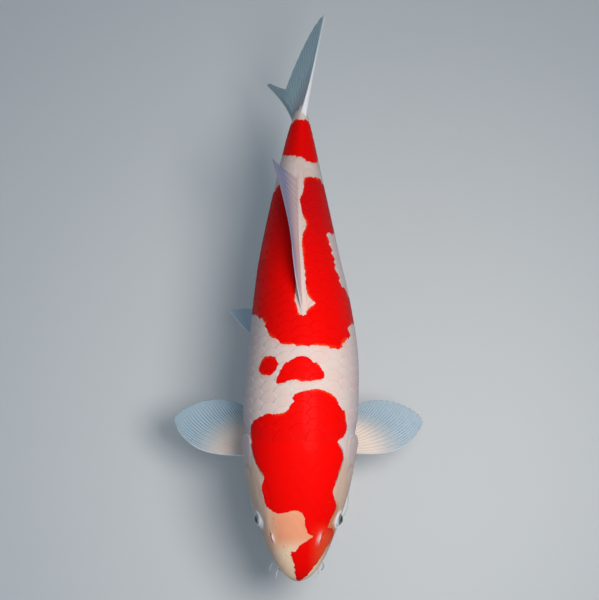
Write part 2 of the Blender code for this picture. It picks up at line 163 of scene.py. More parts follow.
def makeChart():
    # Points and outward directions all over the body, to be read between
    stations = np.linspace(0.0, 1.0, body["chartRows"]) ** 2
    girths, arcs = evenGirths(stations, body["chartColumns"] // 2 + 1)
    girths = np.concatenate([-girths[:, :0:-1], girths], axis=1)
    points = bodyPoint(stations[:, None], girths)
    around = np.gradient(points, axis=1)
    back = np.gradient(points, axis=0)
    outward = unit(np.cross(around, back))
    seam = unit(outward[:, 0] + outward[:, -1])
    outward[:, 0] = outward[:, -1] = seam
    outward[0] = (0.0, -1.0, 0.0)
    return points, outward, girths, arcs


chartPoints, chartOutward, chartGirths, chartArcs = makeChart()


def between(table, row, column):
    # Reads a table at places between its rows and columns
    i = np.clip(row.astype(int), 0, table.shape[0] - 2)
    j = np.clip(column.astype(int), 0, table.shape[1] - 2)
    f, g = row - i, column - j
    if table.ndim == 3:
        f, g = f[..., None], g[..., None]
    fore = table[i, j] * (1 - g) + table[i, j + 1] * g
    aft = table[i + 1, j] * (1 - g) + table[i + 1, j + 1] * g
    return fore * (1 - f) + aft * f


def chartRow(station):
    return np.sqrt(np.clip(station, 0.0, 1.0)) * (body["chartRows"] - 1)


def readChart(table, station, share):
    column = np.mod(share + 1, 2) / 2 * (body["chartColumns"] - 1)
    return between(table, chartRow(station), column)


def halfArc(station):
    # Millimetres from the middle of the back round to the middle of the belly
    return np.interp(chartRow(station), np.arange(body["chartRows"]), chartArcs) / mm


def onBody(station, share, height):
    # A point over the body's surface by a height in millimetres
    points = readChart(chartPoints, station, share)
    outward = readChart(chartOutward, station, share)
    return points + outward * (np.asarray(height) * mm)[..., None]


print("body chart ready")


def addObject(name, data):
    thing = bpy.data.objects.new(name, data)
    bpy.context.scene.collection.objects.link(thing)
    return thing


def makePiece(name, points, quads, triangles, finish, replaced, values, patches=None):
    # A mesh from arrays, in the fish's frame, that rides on the model's one body
    mesh = bpy.data.meshes.new(name)
    quads = np.reshape(quads, (-1, 4)).astype(np.int32)
    triangles = np.reshape(triangles, (-1, 3)).astype(np.int32)
    corners = np.concatenate([quads.ravel(), triangles.ravel()])
    sizes = np.repeat([4, 3], [len(quads), len(triangles)])
    starts = np.cumsum(sizes) - sizes
    mesh.vertices.add(len(points))
    mesh.vertices.foreach_set("co", (points + origin).astype(np.float32).ravel())
    mesh.loops.add(len(corners))
    mesh.loops.foreach_set("vertex_index", corners)
    mesh.polygons.add(len(sizes))
    mesh.polygons.foreach_set("loop_start", starts.astype(np.int32))
    mesh.update(calc_edges=True)
    mesh.shade_smooth()
    for label, numbers in values.items():
        layer = mesh.attributes.new(label, "FLOAT", "POINT")
        layer.data.foreach_set("value", np.ravel(numbers).astype(np.float32))
    if patches is not None:
        layer = mesh.uv_layers.new(name="OFBake")
        layer.data.foreach_set("uv", patches[corners].astype(np.float32).ravel())
    mesh.materials.append(finish)
    piece = addObject(name, mesh)
    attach(piece, "root")
    if replaced:
        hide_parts(*replaced)
    return piece


def gridQuads(rows, columns, closed=False):
    # Quads between the points of a grid, which may close round its columns
    i, j = np.meshgrid(np.arange(rows - 1), np.arange(columns - (not closed)), indexing="ij")
    after = (j + 1) % columns
    near, far = i * columns, (i + 1) * columns
    return np.stack([near + j, near + after, far + after, far + j], -1).reshape(-1, 4)


def tubeFaces(rows, columns):
    # Faces of a closed tube. The grid's points are followed by one more at each end
    ring = np.arange(columns)
    after = (ring + 1) % columns
    base, tip = (rows - 1) * columns, np.full(columns, rows * columns)
    first = np.stack([tip, after, ring], -1)
    last = np.stack([base + ring, base + after, tip + 1], -1)
    return gridQuads(rows, columns, closed=True), np.concatenate([first, last])


def vectors(x, y, z):
    return np.stack(np.broadcast_arrays(x, y, z), -1)


class Wire:
    # A node's output that Python's operators work on
    def __init__(self, finish, socket):
        self.finish, self.socket = finish, socket

    def math(self, operation, *others):
        return self.finish.math(operation, self, *others)

    def __add__(self, other):
        return self.math("ADD", other)

    def __sub__(self, other):
        return self.math("SUBTRACT", other)

    def __rsub__(self, other):
        return self.finish.math("SUBTRACT", other, self)

    def __mul__(self, other):
        return self.math("MULTIPLY", other)

    def __pow__(self, other):
        return self.math("POWER", other)

    def __abs__(self):
        return self.math("ABSOLUTE")

    __radd__ = __add__
    __rmul__ = __mul__

    def steps(self, low, high):
        # A soft step from 0 to 1 between two values
        settings = {"interpolation_type": "SMOOTHSTEP"}
        return self.finish.node("ShaderNodeMapRange", settings, {0: self, 1: low, 2: high})

    def mix(self, first, second):
        # From the first colour to the second one
        settings = {"data_type": "RGBA"}
        return self.finish.node("ShaderNodeMix", settings, {0: self, 6: first, 7: second}, 2)


class Finish:
    # A material on one Principled shader. Constants are set on its own sockets
    def __init__(self, name, constants):
        self.material = bpy.data.materials.new(name)
        self.material.use_nodes = True
        self.tree = self.material.node_tree
        self.shader = self.tree.nodes["Principled BSDF"]
        for socket, value in constants.items():
            self.shader.inputs[socket].default_value = value

    def node(self, kind, settings, inputs, output=0):
        node = self.tree.nodes.new(kind)
        for name, value in settings.items():
            if name == "stops":
                ramp = node.color_ramp
                for spot, colour in value[1:-1]:
                    ramp.elements.new(spot)
                for element, (spot, colour) in zip(ramp.elements, value):
                    element.position, element.color = spot, (*colour, 1.0)
            else:
                setattr(node, name, value)
        for name, value in inputs.items():
            self.join(node.inputs[name], value)
        return Wire(self, node.outputs[output])

    def join(self, socket, value):
        if isinstance(value, Wire):
            self.tree.links.new(value.socket, socket)
        elif isinstance(value, tuple) and len(value) == 3 and socket.type == "RGBA":
            socket.default_value = (*value, 1.0)
        else:
            socket.default_value = value

    def math(self, operation, *values):
        return self.node("ShaderNodeMath", {"operation": operation}, dict(enumerate(values)))

    def value(self, name):
        return self.node("ShaderNodeAttribute", {"attribute_name": name}, {}, "Fac")

    def place(self):
        return self.node("ShaderNodeTexCoord", {}, {}, "Object")

    def noise(self, scale, detail=2.0, rough=0.5, place=None):
        inputs = {"Vector": place or self.place(), "Scale": scale, "Detail": detail}
        return self.node("ShaderNodeTexNoise", {}, {**inputs, "Roughness": rough})

    def stretched(self, factors):
        settings = {"operation": "MULTIPLY"}
        return self.node("ShaderNodeVectorMath", settings, {0: self.place(), 1: factors})

    def feed(self, socket, value):
        self.join(self.shader.inputs[socket], value)

    def dress(self, colour, roughness, grain, distance, strength):
        self.feed("Base Color", colour)
        self.feed("Roughness", roughness)
        inputs = {"Height": grain, "Distance": distance, "Strength": strength}
        self.feed("Normal", self.node("ShaderNodeBump", {}, inputs))
        return self.material


# Markings, as outlines on the flattened skin: millimetres back from the snout, and millimetres
# round from the middle of the back, to the fish's left
markings = {
    "nose": (
        (42, 14), (36, 4), (29, -3), (27, -8), (16, -5), (3, -3), (0, 1), (4, 9), (13, 18),
        (22, 28), (35, 39), (46, 51), (53, 48), (52, 28),
    ),
    "crown": (
        (193, 19), (188, 37), (180, 46), (173, 55), (157, 59), (147, 53), (141, 45), (137, 47),
        (131, 53), (124, 54), (114, 50), (96, 42), (88, 39), (77, 46), (70, 45), (62, 39),
        (47, 29), (44, 14), (52, 7), (63, 6), (68, -2), (66, -20), (70, -31), (76, -38),
        (94, -43), (105, -40), (121, -54), (139, -62), (156, -67), (164, -62), (168, -41),
        (168, -18), (178, -9), (187, -5),
    ),
    "hat": (
        (200, -27), (213, -23), (224, -15), (229, -3), (226, 8), (219, 18), (209, 25), (204, 22),
        (200, 2), (203, -9),
    ),
    "spot": ((221, -56), (231, -50), (232, -38), (227, -28), (216, -29), (210, -36), (213, -50)),
    "saddle": (
        (240, 8), (242, -23), (251, -35), (261, -43), (274, -54), (288, -70), (297, -95),
        (310, -114), (340, -121), (375, -108), (405, -92), (430, -70), (444, -48), (446, -28),
        (448, -8), (451, 8), (455, 22), (455, 40), (446, 60), (420, 76), (395, 76), (387, 56),
        (382, 36), (363, 43), (347, 50), (338, 45), (325, 57), (315, 72), (313, 100),
        (304, 118), (290, 114), (284, 96), (278, 74), (262, 66), (246, 50), (241, 30),
    ),
    "tail": (
        (476, 24), (475, 10), (479, 0), (488, -26), (497, -42), (515, -54), (532, -50),
        (534, -20), (532, 4), (534, 26), (532, 50), (515, 54), (492, 46),
    ),
    "gap": (
        (272, -1), (280, 6), (288, 15), (298, 8), (320, 6), (345, 4), (367, 3), (384, 9),
        (400, 5), (419, 1), (437, 5), (470, 8), (470, -14), (420, -11), (385, -9), (349, -7),
        (310, -8), (290, -10),
    ),
    "mapFrom": (-10, -170), "mapTo": (570, 170), "mapStep": 0.6, "farthest": 12.0,
}


def roundedOutline(name, steps=5):
    # The outline as a closed curve through its points
    spots = np.array(markings[name], float)
    before, after = np.roll(spots, 1, 0), np.roll(spots, -1, 0)
    beyond = np.roll(spots, -2, 0)
    t = (np.arange(steps) / steps)[:, None, None]
    curve = 2 * spots + (after - before) * t
    curve = curve + (2 * before - 5 * spots + 4 * after - beyond) * t**2
    curve = curve + (3 * spots - before - 3 * after + beyond) * t**3
    return (curve / 2).transpose(1, 0, 2).reshape(-1, 2)


def depthInside(outline, places):
    # How far inside a closed outline each place lies, and less than 0 outside it
    nearest = np.full(len(places), np.inf)
    within = np.zeros(len(places), bool)
    for start, end in zip(outline, np.roll(outline, -1, 0)):
        edge, off = end - start, places - start
        share = np.clip((off @ edge) / max(edge @ edge, 1e-9), 0.0, 1.0)
        nearest = np.minimum(nearest, ((off - share[:, None] * edge) ** 2).sum(1))
        if start[1] != end[1]:
            crossing = edge[0] * off[:, 1] / edge[1] > off[:, 0]
            within ^= ((start[1] > places[:, 1]) != (end[1] > places[:, 1])) & crossing
    return np.where(within, 1, -1) * np.sqrt(nearest)


def drawMarkings():
    # A map of how deep inside the red each place of the flattened skin lies
    step, farthest = markings["mapStep"], markings["farthest"]
    (t0, a0), (t1, a1) = markings["mapFrom"], markings["mapTo"]
    t = np.arange(t0, t1, step)
    a = np.arange(a0, a1 + step, step)
    drawn = np.full((len(t), len(a)), -farthest)
    for name in ("nose", "crown", "hat", "spot", "saddle", "tail", "gap"):
        outline = roundedOutline(name)
        low, high = outline.min(0) - farthest, outline.max(0) + farthest
        rows = np.flatnonzero((t >= low[0]) & (t <= high[0]))
        columns = np.flatnonzero((a >= low[1]) & (a <= high[1]))
        grid = np.stack(np.meshgrid(t[rows], a[columns], indexing="ij"), -1)
        depth = depthInside(outline, grid.reshape(-1, 2)).reshape(len(rows), len(columns))
        window = np.ix_(rows, columns)
        if name == "gap":
            drawn[window] = np.minimum(drawn[window], -depth)
        else:
            drawn[window] = np.maximum(drawn[window], depth)
    return np.clip(drawn, -farthest, farthest)


redMap = drawMarkings()


def redDepth(t, a):
    (t0, a0), step = markings["mapFrom"], markings["mapStep"]
    row = np.clip((t - t0) / step, 0, redMap.shape[0] - 1.001)
    column = np.clip((a - a0) / step, 0, redMap.shape[1] - 1.001)
    return between(redMap, row, column)


print("markings drawn")

# Stations are shares of the length and girths are degrees. Heights, depths and places back from
# the snout and round from the back are millimetres
head = {
    "nape": 0.245, "napeFade": 12.0,  # where the scales start on the back
    "shoulderBulge": 0.030, "shoulderGirth": 88, "shoulderSpread": 40, "throatShift": 0.010,
    "cover": {"station": 0.211, "halfLength": 0.056, "girth": 98, "halfGirth": 42, "skew": 0.036},
    "coverBase": 0.2, "coverLift": 1.4, "coverRidges": 30, "coverRidge": 0.06, "gillSlit": 1.6,
    "coverGrooves": (0.35, 0.30, 0.12),  # at its front, behind its rim and farther in
    "hollow": 2.8, "hollowSpread": 26, "hollowEnds": (0.285, 0.335),
    "cheek": {"station": 0.170, "halfLength": 0.036, "girth": 106, "halfGirth": 42, "skew": 0.030},
    "cheekGroove": 0.5, "cheekRim": 0.25,
    "jawStart": (-0.02, -0.016), "jawCorner": (0.062, -0.041), "mouthDepth": 2.4, "lip": 0.7,
    "lipFolds": (0.65, 0.5), "cornerPit": 0.9, "cornerFold": 0.5,
    "eyeGaze": (1.0, -0.20, 0.16), "eyeReach": 16.0, "eyeInset": 1.8, "eyeOpening": 6.9,
    "eyeRim": 0.9, "eyeRimAt": 8.4, "eyeGroove": 0.35, "eyeGrooveAt": 11.6,
    "nostrils": ((42.0, 24.0), (43.0, -30.0)), "nostrilFlap": 1.6, "nostrilPit": 2.2,
    "nostrilMound": 0.8,
    # Over the eye, then under it and back to the cheek, then round the jaw
    "pores": (
        (24, 14), (33, 17), (52, 26), (61, 29), (70, 31), (79, 34), (89, 37), (99, 40), (109, 42),
        (30, 40), (36, 48), (43, 57), (50, 66), (58, 72), (67, 74), (76, 71), (84, 65), (91, 58),
        (38, 78), (47, 86), (57, 93), (68, 98), (79, 100), (90, 97),
    ),
    "poreDepth": 0.55,
    "creases": (
        ((138, 47), (132, 53), (124, 55), (114, 51), (98, 43)),
        ((140, -64), (126, -57), (114, -49), (106, -42)),
    ),
    "creaseDepth": 0.6,
    "isthmus": ((98, 34), (82, 16), (66, 5)), "isthmusDepth": 1.1,
    "throatLine": 0.3,
    "brow": ((52, 38), (66, 36), (84, 40), (100, 47)), "browHeight": 0.25, "browGroove": 0.15,
    "vent": 0.762, "ventDepth": 1.2, "ventRim": 1.3,
    "wrinkles": (0.10, 0.035),  # coarse and fine
}
skin = {
    "columns": 520,
    # Room between rows at places back from the snout
    "spacing": (
        (0, 0.45), (60, 0.6), (118, 0.6), (130, 0.4), (160, 0.4), (185, 1.2), (230, 1.8),
        (550, 1.8),
    ),
    "depthOnHead": -0.1, "depthUnderScales": -1.0,
    "finSheath": 1.3, "finSheathEnds": (0.488, 0.505, 0.81, 0.835),
    "end": 0.997, "tailRows": 10, "tailLength": 10.0,  # the part that runs on to the tail fin
    "redLead": 3.0,  # how far ahead of a red edge the red shows through from under the scales
}


def shoulderEdge(girth):
    off = np.abs(girth) - np.radians(head["shoulderGirth"])
    bulge = bell(off, np.radians(head["shoulderSpread"]))
    throat = head["throatShift"] * (1 - np.cos(girth)) / 2
    return head["nape"] + head["shoulderBulge"] * bulge - throat


def egg(station, girth, plate):
    # Place on a plate let into the side of the head: 1 is its edge
    over = (np.abs(girth) - np.radians(plate["girth"])) / np.radians(plate["halfGirth"])
    back = (station - plate["station"] + plate["skew"] * over) / plate["halfLength"]
    return (np.abs(over) ** 2.5 + np.abs(back) ** 2.5) ** 0.4, over, back


def shoulderHollow(station, girth):
    # How far the body draws in behind the gill cover, in millimetres
    off = np.abs(girth) - np.radians(head["shoulderGirth"])
    side = bell(off, np.radians(head["hollowSpread"]))
    return head["hollow"] * side * (1 - smooth(station, *head["hollowEnds"]))


def lineDistance(t, a, spots):
    nearest = np.full(np.shape(t), np.inf)
    for (t0, a0), (t1, a1) in zip(spots, spots[1:]):
        dt, da = t1 - t0, a1 - a0
        share = np.clip(((t - t0) * dt + (a - a0) * da) / (dt * dt + da * da), 0, 1)
        nearest = np.minimum(nearest, np.hypot(t - t0 - share * dt, a - a0 - share * da))
    return nearest


def skinRelief(station, girth, share, points):
    # Height over the plain body in millimetres, painted shade in its folds, slits and pits, and
    # where the lips, the gill covers and the nostrils' soft rims are
    t = station * lengthMm
    arc = halfArc(station)
    a = share * arc
    fromBelly = arc * (1 - np.abs(share))
    behind = t - shoulderEdge(girth) * lengthMm
    roof = 1 - smooth(np.abs(girth), 0.75, 1.05)
    covered = smooth(behind, -7.0 * roof, blend(4.0, head["napeFade"], roof))
    height = blend(skin["depthOnHead"], skin["depthUnderScales"], covered)
    dark = np.zeros_like(height)

    # Gill cover, its soft edge, the slit behind it and the hollow behind that
    reach, over, back = egg(station, girth, head["cover"])
    rear = smooth(back, -0.1, 0.45)
    inside = 1 - smooth(reach, 0.975, 1.005)
    rise = (station - head["cover"]["station"]) / head["cover"]["halfLength"]
    rise = np.maximum(np.minimum(rise, 1.13 * back), 0.0)
    height += inside * (head["coverBase"] + head["coverLift"] * rise**2)
    slit = bell(reach - 1.03, 0.022) * rear
    height -= head["gillSlit"] * slit
    height -= shoulderHollow(station, girth) * smooth(reach, 0.98, 1.03) * rear
    dark += slit
    front, rim, farIn = head["coverGrooves"]
    height -= front * bell(reach - 1.0, 0.05) * (1 - rear) * (over < 1.3)
    height -= rim * bell(reach - 0.90, 0.028) * rear
    height -= farIn * bell(reach - 0.62, 0.020) * rear * smooth(over, -0.8, -0.3)
    turn = np.arctan2(over + 0.75, back + 0.85)
    ridged = (1 - smooth(reach, 0.75, 0.88)) * smooth(reach, 0.15, 0.4)
    height += head["coverRidge"] * np.cos(head["coverRidges"] * turn) * ridged

    # Cheek plate in front of it
    reach, over, back = egg(station, girth, head["cheek"])
    rear = smooth(back, -0.2, 0.3)
    height -= head["cheekGroove"] * bell(reach - 1.0, 0.055) * rear
    height += head["cheekRim"] * bell(reach - 0.86, 0.09) * rear
    dark += 0.25 * bell(reach - 1.0, 0.05) * rear

    # Mouth: slit, lips, the folds beside them and the corner
    y, z = points[..., 1], points[..., 2]
    (s0, z0), (s1, z1) = head["jawStart"], head["jawCorner"]
    slope = (z1 - z0) / (s1 - s0)
    off = (z - bodyLength * (z0 + slope * (station - s0))) / math.hypot(1, slope) / mm
    parted = 1 - smooth(station, 0.056, 0.066)
    height -= head["mouthDepth"] * bell(off, 0.65) * parted
    height += head["lip"] * (bell(off - 2.2, 1.4) + 0.9 * bell(off + 2.1, 1.4)) * parted
    folded = 1 - smooth(station, 0.045, 0.066)
    upper, lower = head["lipFolds"]
    height -= (upper * bell(off - 5.3, 0.9) + lower * bell(off + 5.0, 0.9)) * folded
    cornerY = bodyLength * s1
    corner = np.hypot(y - cornerY, z - bodyLength * z1) / mm
    height -= head["cornerPit"] * bell(corner, 1.8)
    height += head["cornerFold"] * bell(corner - 3.6, 1.5) * smooth(y, cornerY, cornerY + 0.002)
    dark += 0.9 * bell(off, 0.55) * parted + 0.35 * bell(corner, 1.5)
    lips = parted * bell(off, 3.4)

    # Nostrils: a low mound with a long flap on it, and a pit before and behind the flap's foot
    soft = np.zeros_like(height)
    for nostrilT, nostrilA in head["nostrils"]:
        fore = t - nostrilT
        side = (a - nostrilA) * math.copysign(1.0, nostrilA) - 0.30 * fore
        flap = bell(side + 0.5 - 0.03 * fore**2, 0.9) * bell(fore, 4.6)
        pits = bell(np.hypot(fore + 2.6, side - 2.3), 1.5)
        pits = pits + bell(np.hypot((fore - 2.8) * 0.8, side - 2.7), 1.6)
        mound = bell(np.hypot(fore * 0.8, side - 1.0), 5.6)
        height += head["nostrilFlap"] * flap + head["nostrilMound"] * mound
        height -= head["nostrilPit"] * pits
        dark += 0.6 * pits
        soft += np.clip(1.1 * flap + 0.55 * bell(side + 1.8, 1.8) * bell(fore, 5.0), 0.0, 1.0)

    # Creases over the gill covers, the throat's folds, the brow and the vent
    for spots in head["creases"]:
        crease = bell(lineDistance(t, a, spots), 1.0)
        height -= head["creaseDepth"] * crease
        dark += 0.7 * crease
    isthmus = bell(lineDistance(t, fromBelly, head["isthmus"]), 1.1)
    height -= head["isthmusDepth"] * isthmus
    dark += 0.5 * isthmus
    throat = bell(fromBelly, 1.0) * smooth(t, 30, 45) * (1 - smooth(t, 110, 130))
    height -= head["throatLine"] * throat
    brow = lineDistance(t, np.abs(a), head["brow"])
    height += head["browHeight"] * bell(brow, 4.0) - head["browGroove"] * bell(brow - 6.0, 2.5)
    fromVent = t - head["vent"] * lengthMm
    vent = bell(np.hypot(fromVent, fromBelly * 1.3), 2.4)
    height -= head["ventDepth"] * vent
    height += head["ventRim"] * bell(np.hypot(fromVent, fromBelly) - 4.5, 1.6)
    dark += 0.4 * vent

    # Soft wrinkles of the head's skin, and the pores of its sense canals
    bare = 1 - smooth(behind, -25.0, -4.0)
    coarse = np.sin(0.31 * t + 1.7 * np.sin(0.17 * a)) * np.sin(0.27 * a + 1.3 * np.sin(0.13 * t))
    fine = np.sin(1.1 * t + 2.1 * np.sin(0.33 * a)) * np.sin(0.9 * a + 1.9 * np.sin(0.41 * t))
    height += (head["wrinkles"][0] * coarse + head["wrinkles"][1] * fine) * bare
    for poreT, poreA in head["pores"]:
        pit = bell(np.hypot(t - poreT, np.abs(a) - poreA), 0.75)
        height -= head["poreDepth"] * pit
        dark += 0.35 * pit

    # The sheath at the foot of the back fin
    start, full, thins, end = skin["finSheathEnds"]
    sheath = smooth(station, start, full) * (1 - smooth(station, thins, end))
    height += skin["finSheath"] * bell(a, 2.6) * sheath
    return height, np.clip(dark, 0.0, 1.0), lips, inside, np.clip(soft, 0.0, 1.0)


def openEyes(points):
    # Presses the skin in behind each eyeball and raises the rim round it. Returns the distance
    # from the nearest gaze in millimetres
    nearest = np.full(points.shape[:-1], 99.0)
    for name, side in (("eye_left", 1), ("eye_right", -1)):
        low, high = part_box(name)
        middle = (np.array(low) + np.array(high)) / 2 - origin
        radius = (high.y - low.y) / 2
        gaze = unit(np.array(head["eyeGaze"]) * (side, 1, 1))
        off = points - middle
        out = off @ gaze
        away = np.linalg.norm(off - out[..., None] * gaze, axis=-1) / mm
        near = (out > -0.002) & (away < head["eyeReach"])
        ball = np.sqrt(np.maximum(radius**2 - (away * mm) ** 2, 0.0)) - head["eyeInset"] * mm
        pressed = 1 - smooth(away, head["eyeOpening"], head["eyeOpening"] + 0.9)
        push = pressed * np.minimum(ball - out, 0.0)
        push = push + head["eyeRim"] * mm * bell(away - head["eyeRimAt"], 1.1) * (1 - pressed)
        push = push - head["eyeGroove"] * mm * bell(away - head["eyeGrooveAt"], 1.2)
        points += np.where(near, push, 0.0)[..., None] * gaze
        nearest = np.where(near, np.minimum(nearest, away), nearest)
    return nearest


def skinStations():
    # Rows closer together on the head, by the way along the side
    fine = np.linspace(0.0, 1.0, 20001) ** 2 * skin["end"]
    width = along(body["halfWidth"], fine) * lengthMm
    run = np.concatenate([[0.0], np.cumsum(np.hypot(np.diff(width), np.diff(fine) * lengthMm))])
    spots, gaps = zip(*skin["spacing"])
    density = 1 / np.interp(fine * lengthMm, spots, gaps)
    count = np.concatenate([[0.0], np.cumsum(np.diff(run) * (density[1:] + density[:-1]) / 2)])
    rows = int(count[-1])
    return np.interp(np.linspace(0.0, count[-1], rows + 1)[1:], count, fine)


# The tail fin's rays, which the skin's rear end follows too. Of two values the first is the
# upper lobe's. They are shares of the length, apart from the tips' way to the side, in metres:
# the middle ray's, the two lobes' difference, and how far both curl
tail = {
    "root": 0.972, "fork": 1.072, "rootLevel": 0.003, "rootHalf": 0.053,
    "reach": (0.128, 0.092), "height": (0.138, -0.128), "arch": (0.007, -0.004),
    "sway": (-0.017, 0.037, 0.011),
}


def tailReach(place):
    return np.where(place > 0, *tail["reach"]) * np.abs(place) * (1 - 0.16 * np.abs(place) ** 6)


def tailRay(place, share):
    # Place runs from -1 on the lower edge to 1 on the upper one
    spread = np.abs(place)
    upper = place > 0
    rootZ = bodyLength * (tail["rootLevel"] + tail["rootHalf"] * place)
    rootX = bodyLength * along(body["sideways"], 1.0) + along(body["lean"], 1.0) * rootZ
    rootY = bodyLength * tail["root"]
    middle, apart, curl = tail["sway"]
    tipX = middle + apart * place + curl * place * place
    tipY = bodyLength * (tail["fork"] + tailReach(place))
    tipZ = bodyLength * np.where(upper, *tail["height"]) * spread**0.95
    x = rootX + (tipX - rootX) * share ** np.where(upper, 0.85, 0.85 + 0.9 * spread)
    y = rootY + (tipY - rootY) * share
    z = rootZ + (tipZ - rootZ) * share
    z = z + np.where(upper, *tail["arch"]) * place * 4 * share * (1 - share)
    return vectors(x, y, z)


def tailShare(place, y):
    # The share of a tail ray at which it is y back from the snout
    length = tail["fork"] - tail["root"] + tailReach(place)
    return np.clip((y / bodyLength - tail["root"]) / length, 0.0, 1.0)


def makeSkin(finish):
    columns = skin["columns"]
    stations = skinStations()
    girths = evenGirths(stations, columns // 2 + 1)[0]
    girths = np.concatenate([-girths[:, :0:-1], girths[:, :-1]], axis=1)
    share = np.linspace(-1.0, 1.0, columns + 1)[:-1][None, :] + 0 * girths
    end = 0.975 + 0.022 * np.sin(girths) ** 2
    shift = (skin["end"] - end) * smooth(stations[:, None], 0.90, skin["end"])
    station = stations[:, None] - shift
    plain = readChart(chartPoints, station, share)
    outward = readChart(chartOutward, station, share)
    height, dark, lips, inside, soft = skinRelief(station, girths, share, plain)
    points = plain + outward * (height * mm)[..., None]
    fromEye = openEyes(points)

    # Behind its last row the skin narrows on to the tail fin and ends inside it
    last = points[-1]
    loops = []
    for step in range(1, skin["tailRows"] + 1):
        w = step / skin["tailRows"]
        y = last[:, 1] + w * skin["tailLength"] * mm
        place = (last[:, 2] / bodyLength - tail["rootLevel"]) / tail["rootHalf"]
        place = np.clip(place, -0.97, 0.97)
        middle = tailRay(place, tailShare(place, y))
        offset = last[:, 0] - tailRay(place, tailShare(place, last[:, 1]))[:, 0]
        x = middle[:, 0] + offset * ((1 - w) ** 1.5 + 0.16 * (1 - w**6))
        loops.append(np.stack([x, y, last[:, 2] * (1 - w) + middle[:, 2] * w], -1))
    points = np.concatenate([points, np.array(loops)])

    # Those rows take the values of the last one, farther back
    station, share, dark, lips, inside, soft, fromEye = (
        np.pad(table, ((0, skin["tailRows"]), (0, 0)), mode="edge")
        for table in (station, share, dark, lips, inside, soft, fromEye)
    )
    t = station * lengthMm
    t[-skin["tailRows"] :] += np.linspace(1, skin["tailLength"], skin["tailRows"])[:, None]
    a = share * halfArc(station)
    values = {
        "red": redDepth(t, a), "redAhead": redDepth(t + skin["redLead"], a), "dark": dark,
        "lips": lips, "gill": inside, "soft": soft, "fromEye": fromEye, "t": t, "a": a,
        "across": np.abs(share),
    }
    for name, table in values.items():
        values[name] = np.concatenate([table.ravel(), [table[0].mean(), table[-1].mean()]])
    tip = [[plain[0, :, 0].mean(), -skin["depthOnHead"] * mm, plain[0, :, 2].mean()]]
    flat = np.concatenate([points.reshape(-1, 3), tip, points[-1].mean(0, keepdims=True)])
    quads, fans = tubeFaces(len(points), columns)
    flesh = (
        "head", "lower_jaw", "gill_cover_left", "gill_cover_right", "trunk_front", "trunk_rear",
        "tail_stalk",
    )
    return makePiece("skin", flat, quads, fans, finish, flesh, values)


skinPaint = {
    "white": (0.72, 0.58, 0.52),
    # painted shade with a blue cast of reflected light: the white, darker and lavender down the
    # sides
    "shadedFlank": (0.50, 0.455, 0.49),
    "belly": (0.68, 0.62, 0.58),
    "forehead": (0.86, 0.34, 0.17),
    "snout": (0.88, 0.64, 0.43),
    "cheek": (0.58, 0.43, 0.33),
    "red": (0.88, 0.002, 0.001),
    # painted shade of the red, down the flanks and towards the rear
    "shadedRed": (0.43, 0.004, 0.008),
    "redEdge": (0.42, 0.004, 0.004),
    "orange": (0.95, 0.085, 0.01),
    "fadedRed": (0.80, 0.10, 0.035),
    "pink": (0.78, 0.36, 0.31),
    # near-black painted shade in the folds, slits, pits and pores
    "crease": (0.16, 0.05, 0.05),
    "lips": (0.68, 0.50, 0.40),
    "eyeRim": (0.80, 0.79, 0.82),
    "underEye": (0.66, 0.62, 0.60),
    "roundEye": (0.76, 0.68, 0.64),
    "nostril": (0.78, 0.62, 0.60),
    "fringe": (0.60, 0.17, 0.05),
    "gill": (0.54, 0.44, 0.42),
    # darker red-brown for each scale's random tone and for the painted shade at its front
    "scaleToneAndShade": (0.30, 0.02, 0.03),
    "scaleRim": (0.86, 0.74, 0.72),
    "line": (0.30, 0.16, 0.15),
}
# Where and how strongly the colours above meet. The places of the flanks' painted shade, of the
# belly and of overEye are shares round the body, and the others are millimetres
skinMix = {
    "shadedFlankFrom": (0.16, 0.46), "bellyFrom": (0.55, 0.95), "shadedRedFrom": (0.20, 0.50),
    "headTo": (136, 112), "headMiddle": (46, 18), "foreheadFrom": (26, 44), "foreheadTo": (96, 60),
    "mottle": 0.5, "leastPink": 0.12, "gill": 0.55, "lips": 0.7,
    "shadeFrom": (330, 430), "shadeTo": (480, 455), "rearShade": 0.45,
    "fadedTo": (60, 40), "fadedFrom": (8, 34), "orangeFrom": (120, 170), "underFrom": (150, 200),
    "coarseWobble": 3.6, "fineWobble": 2.0, "wobbleMiddle": 2.8, "scaleWobble": 0.7,
    "edge": 0.45, "darkEdge": 0.4, "orangeEdge": 0.65, "redUnder": 0.42,
    "eyeRing": (14.0, 9.5), "eyeRim": (10.6, 9.0), "overEye": (0.62, 0.42),
    # The orange rim of the red over the left eye
    "fringeDepth": (-7.5, -1.5), "fringeFrom": (26, 40), "fringeTo": (86, 72),
    "fringeUnder": (26, 33), "fringe": 0.85,
    # the last sets how strongly the painted shade darkens the folds
    "nostril": 0.8, "crease": 0.85,
}
wetSkin = {
    "Metallic": 0.0, "IOR": 1.38, "Specular IOR Level": 0.03, "Coat Weight": 0.01,
    "Coat Roughness": 0.12, "Subsurface Weight": 0.06, "Subsurface Scale": 0.004,
}


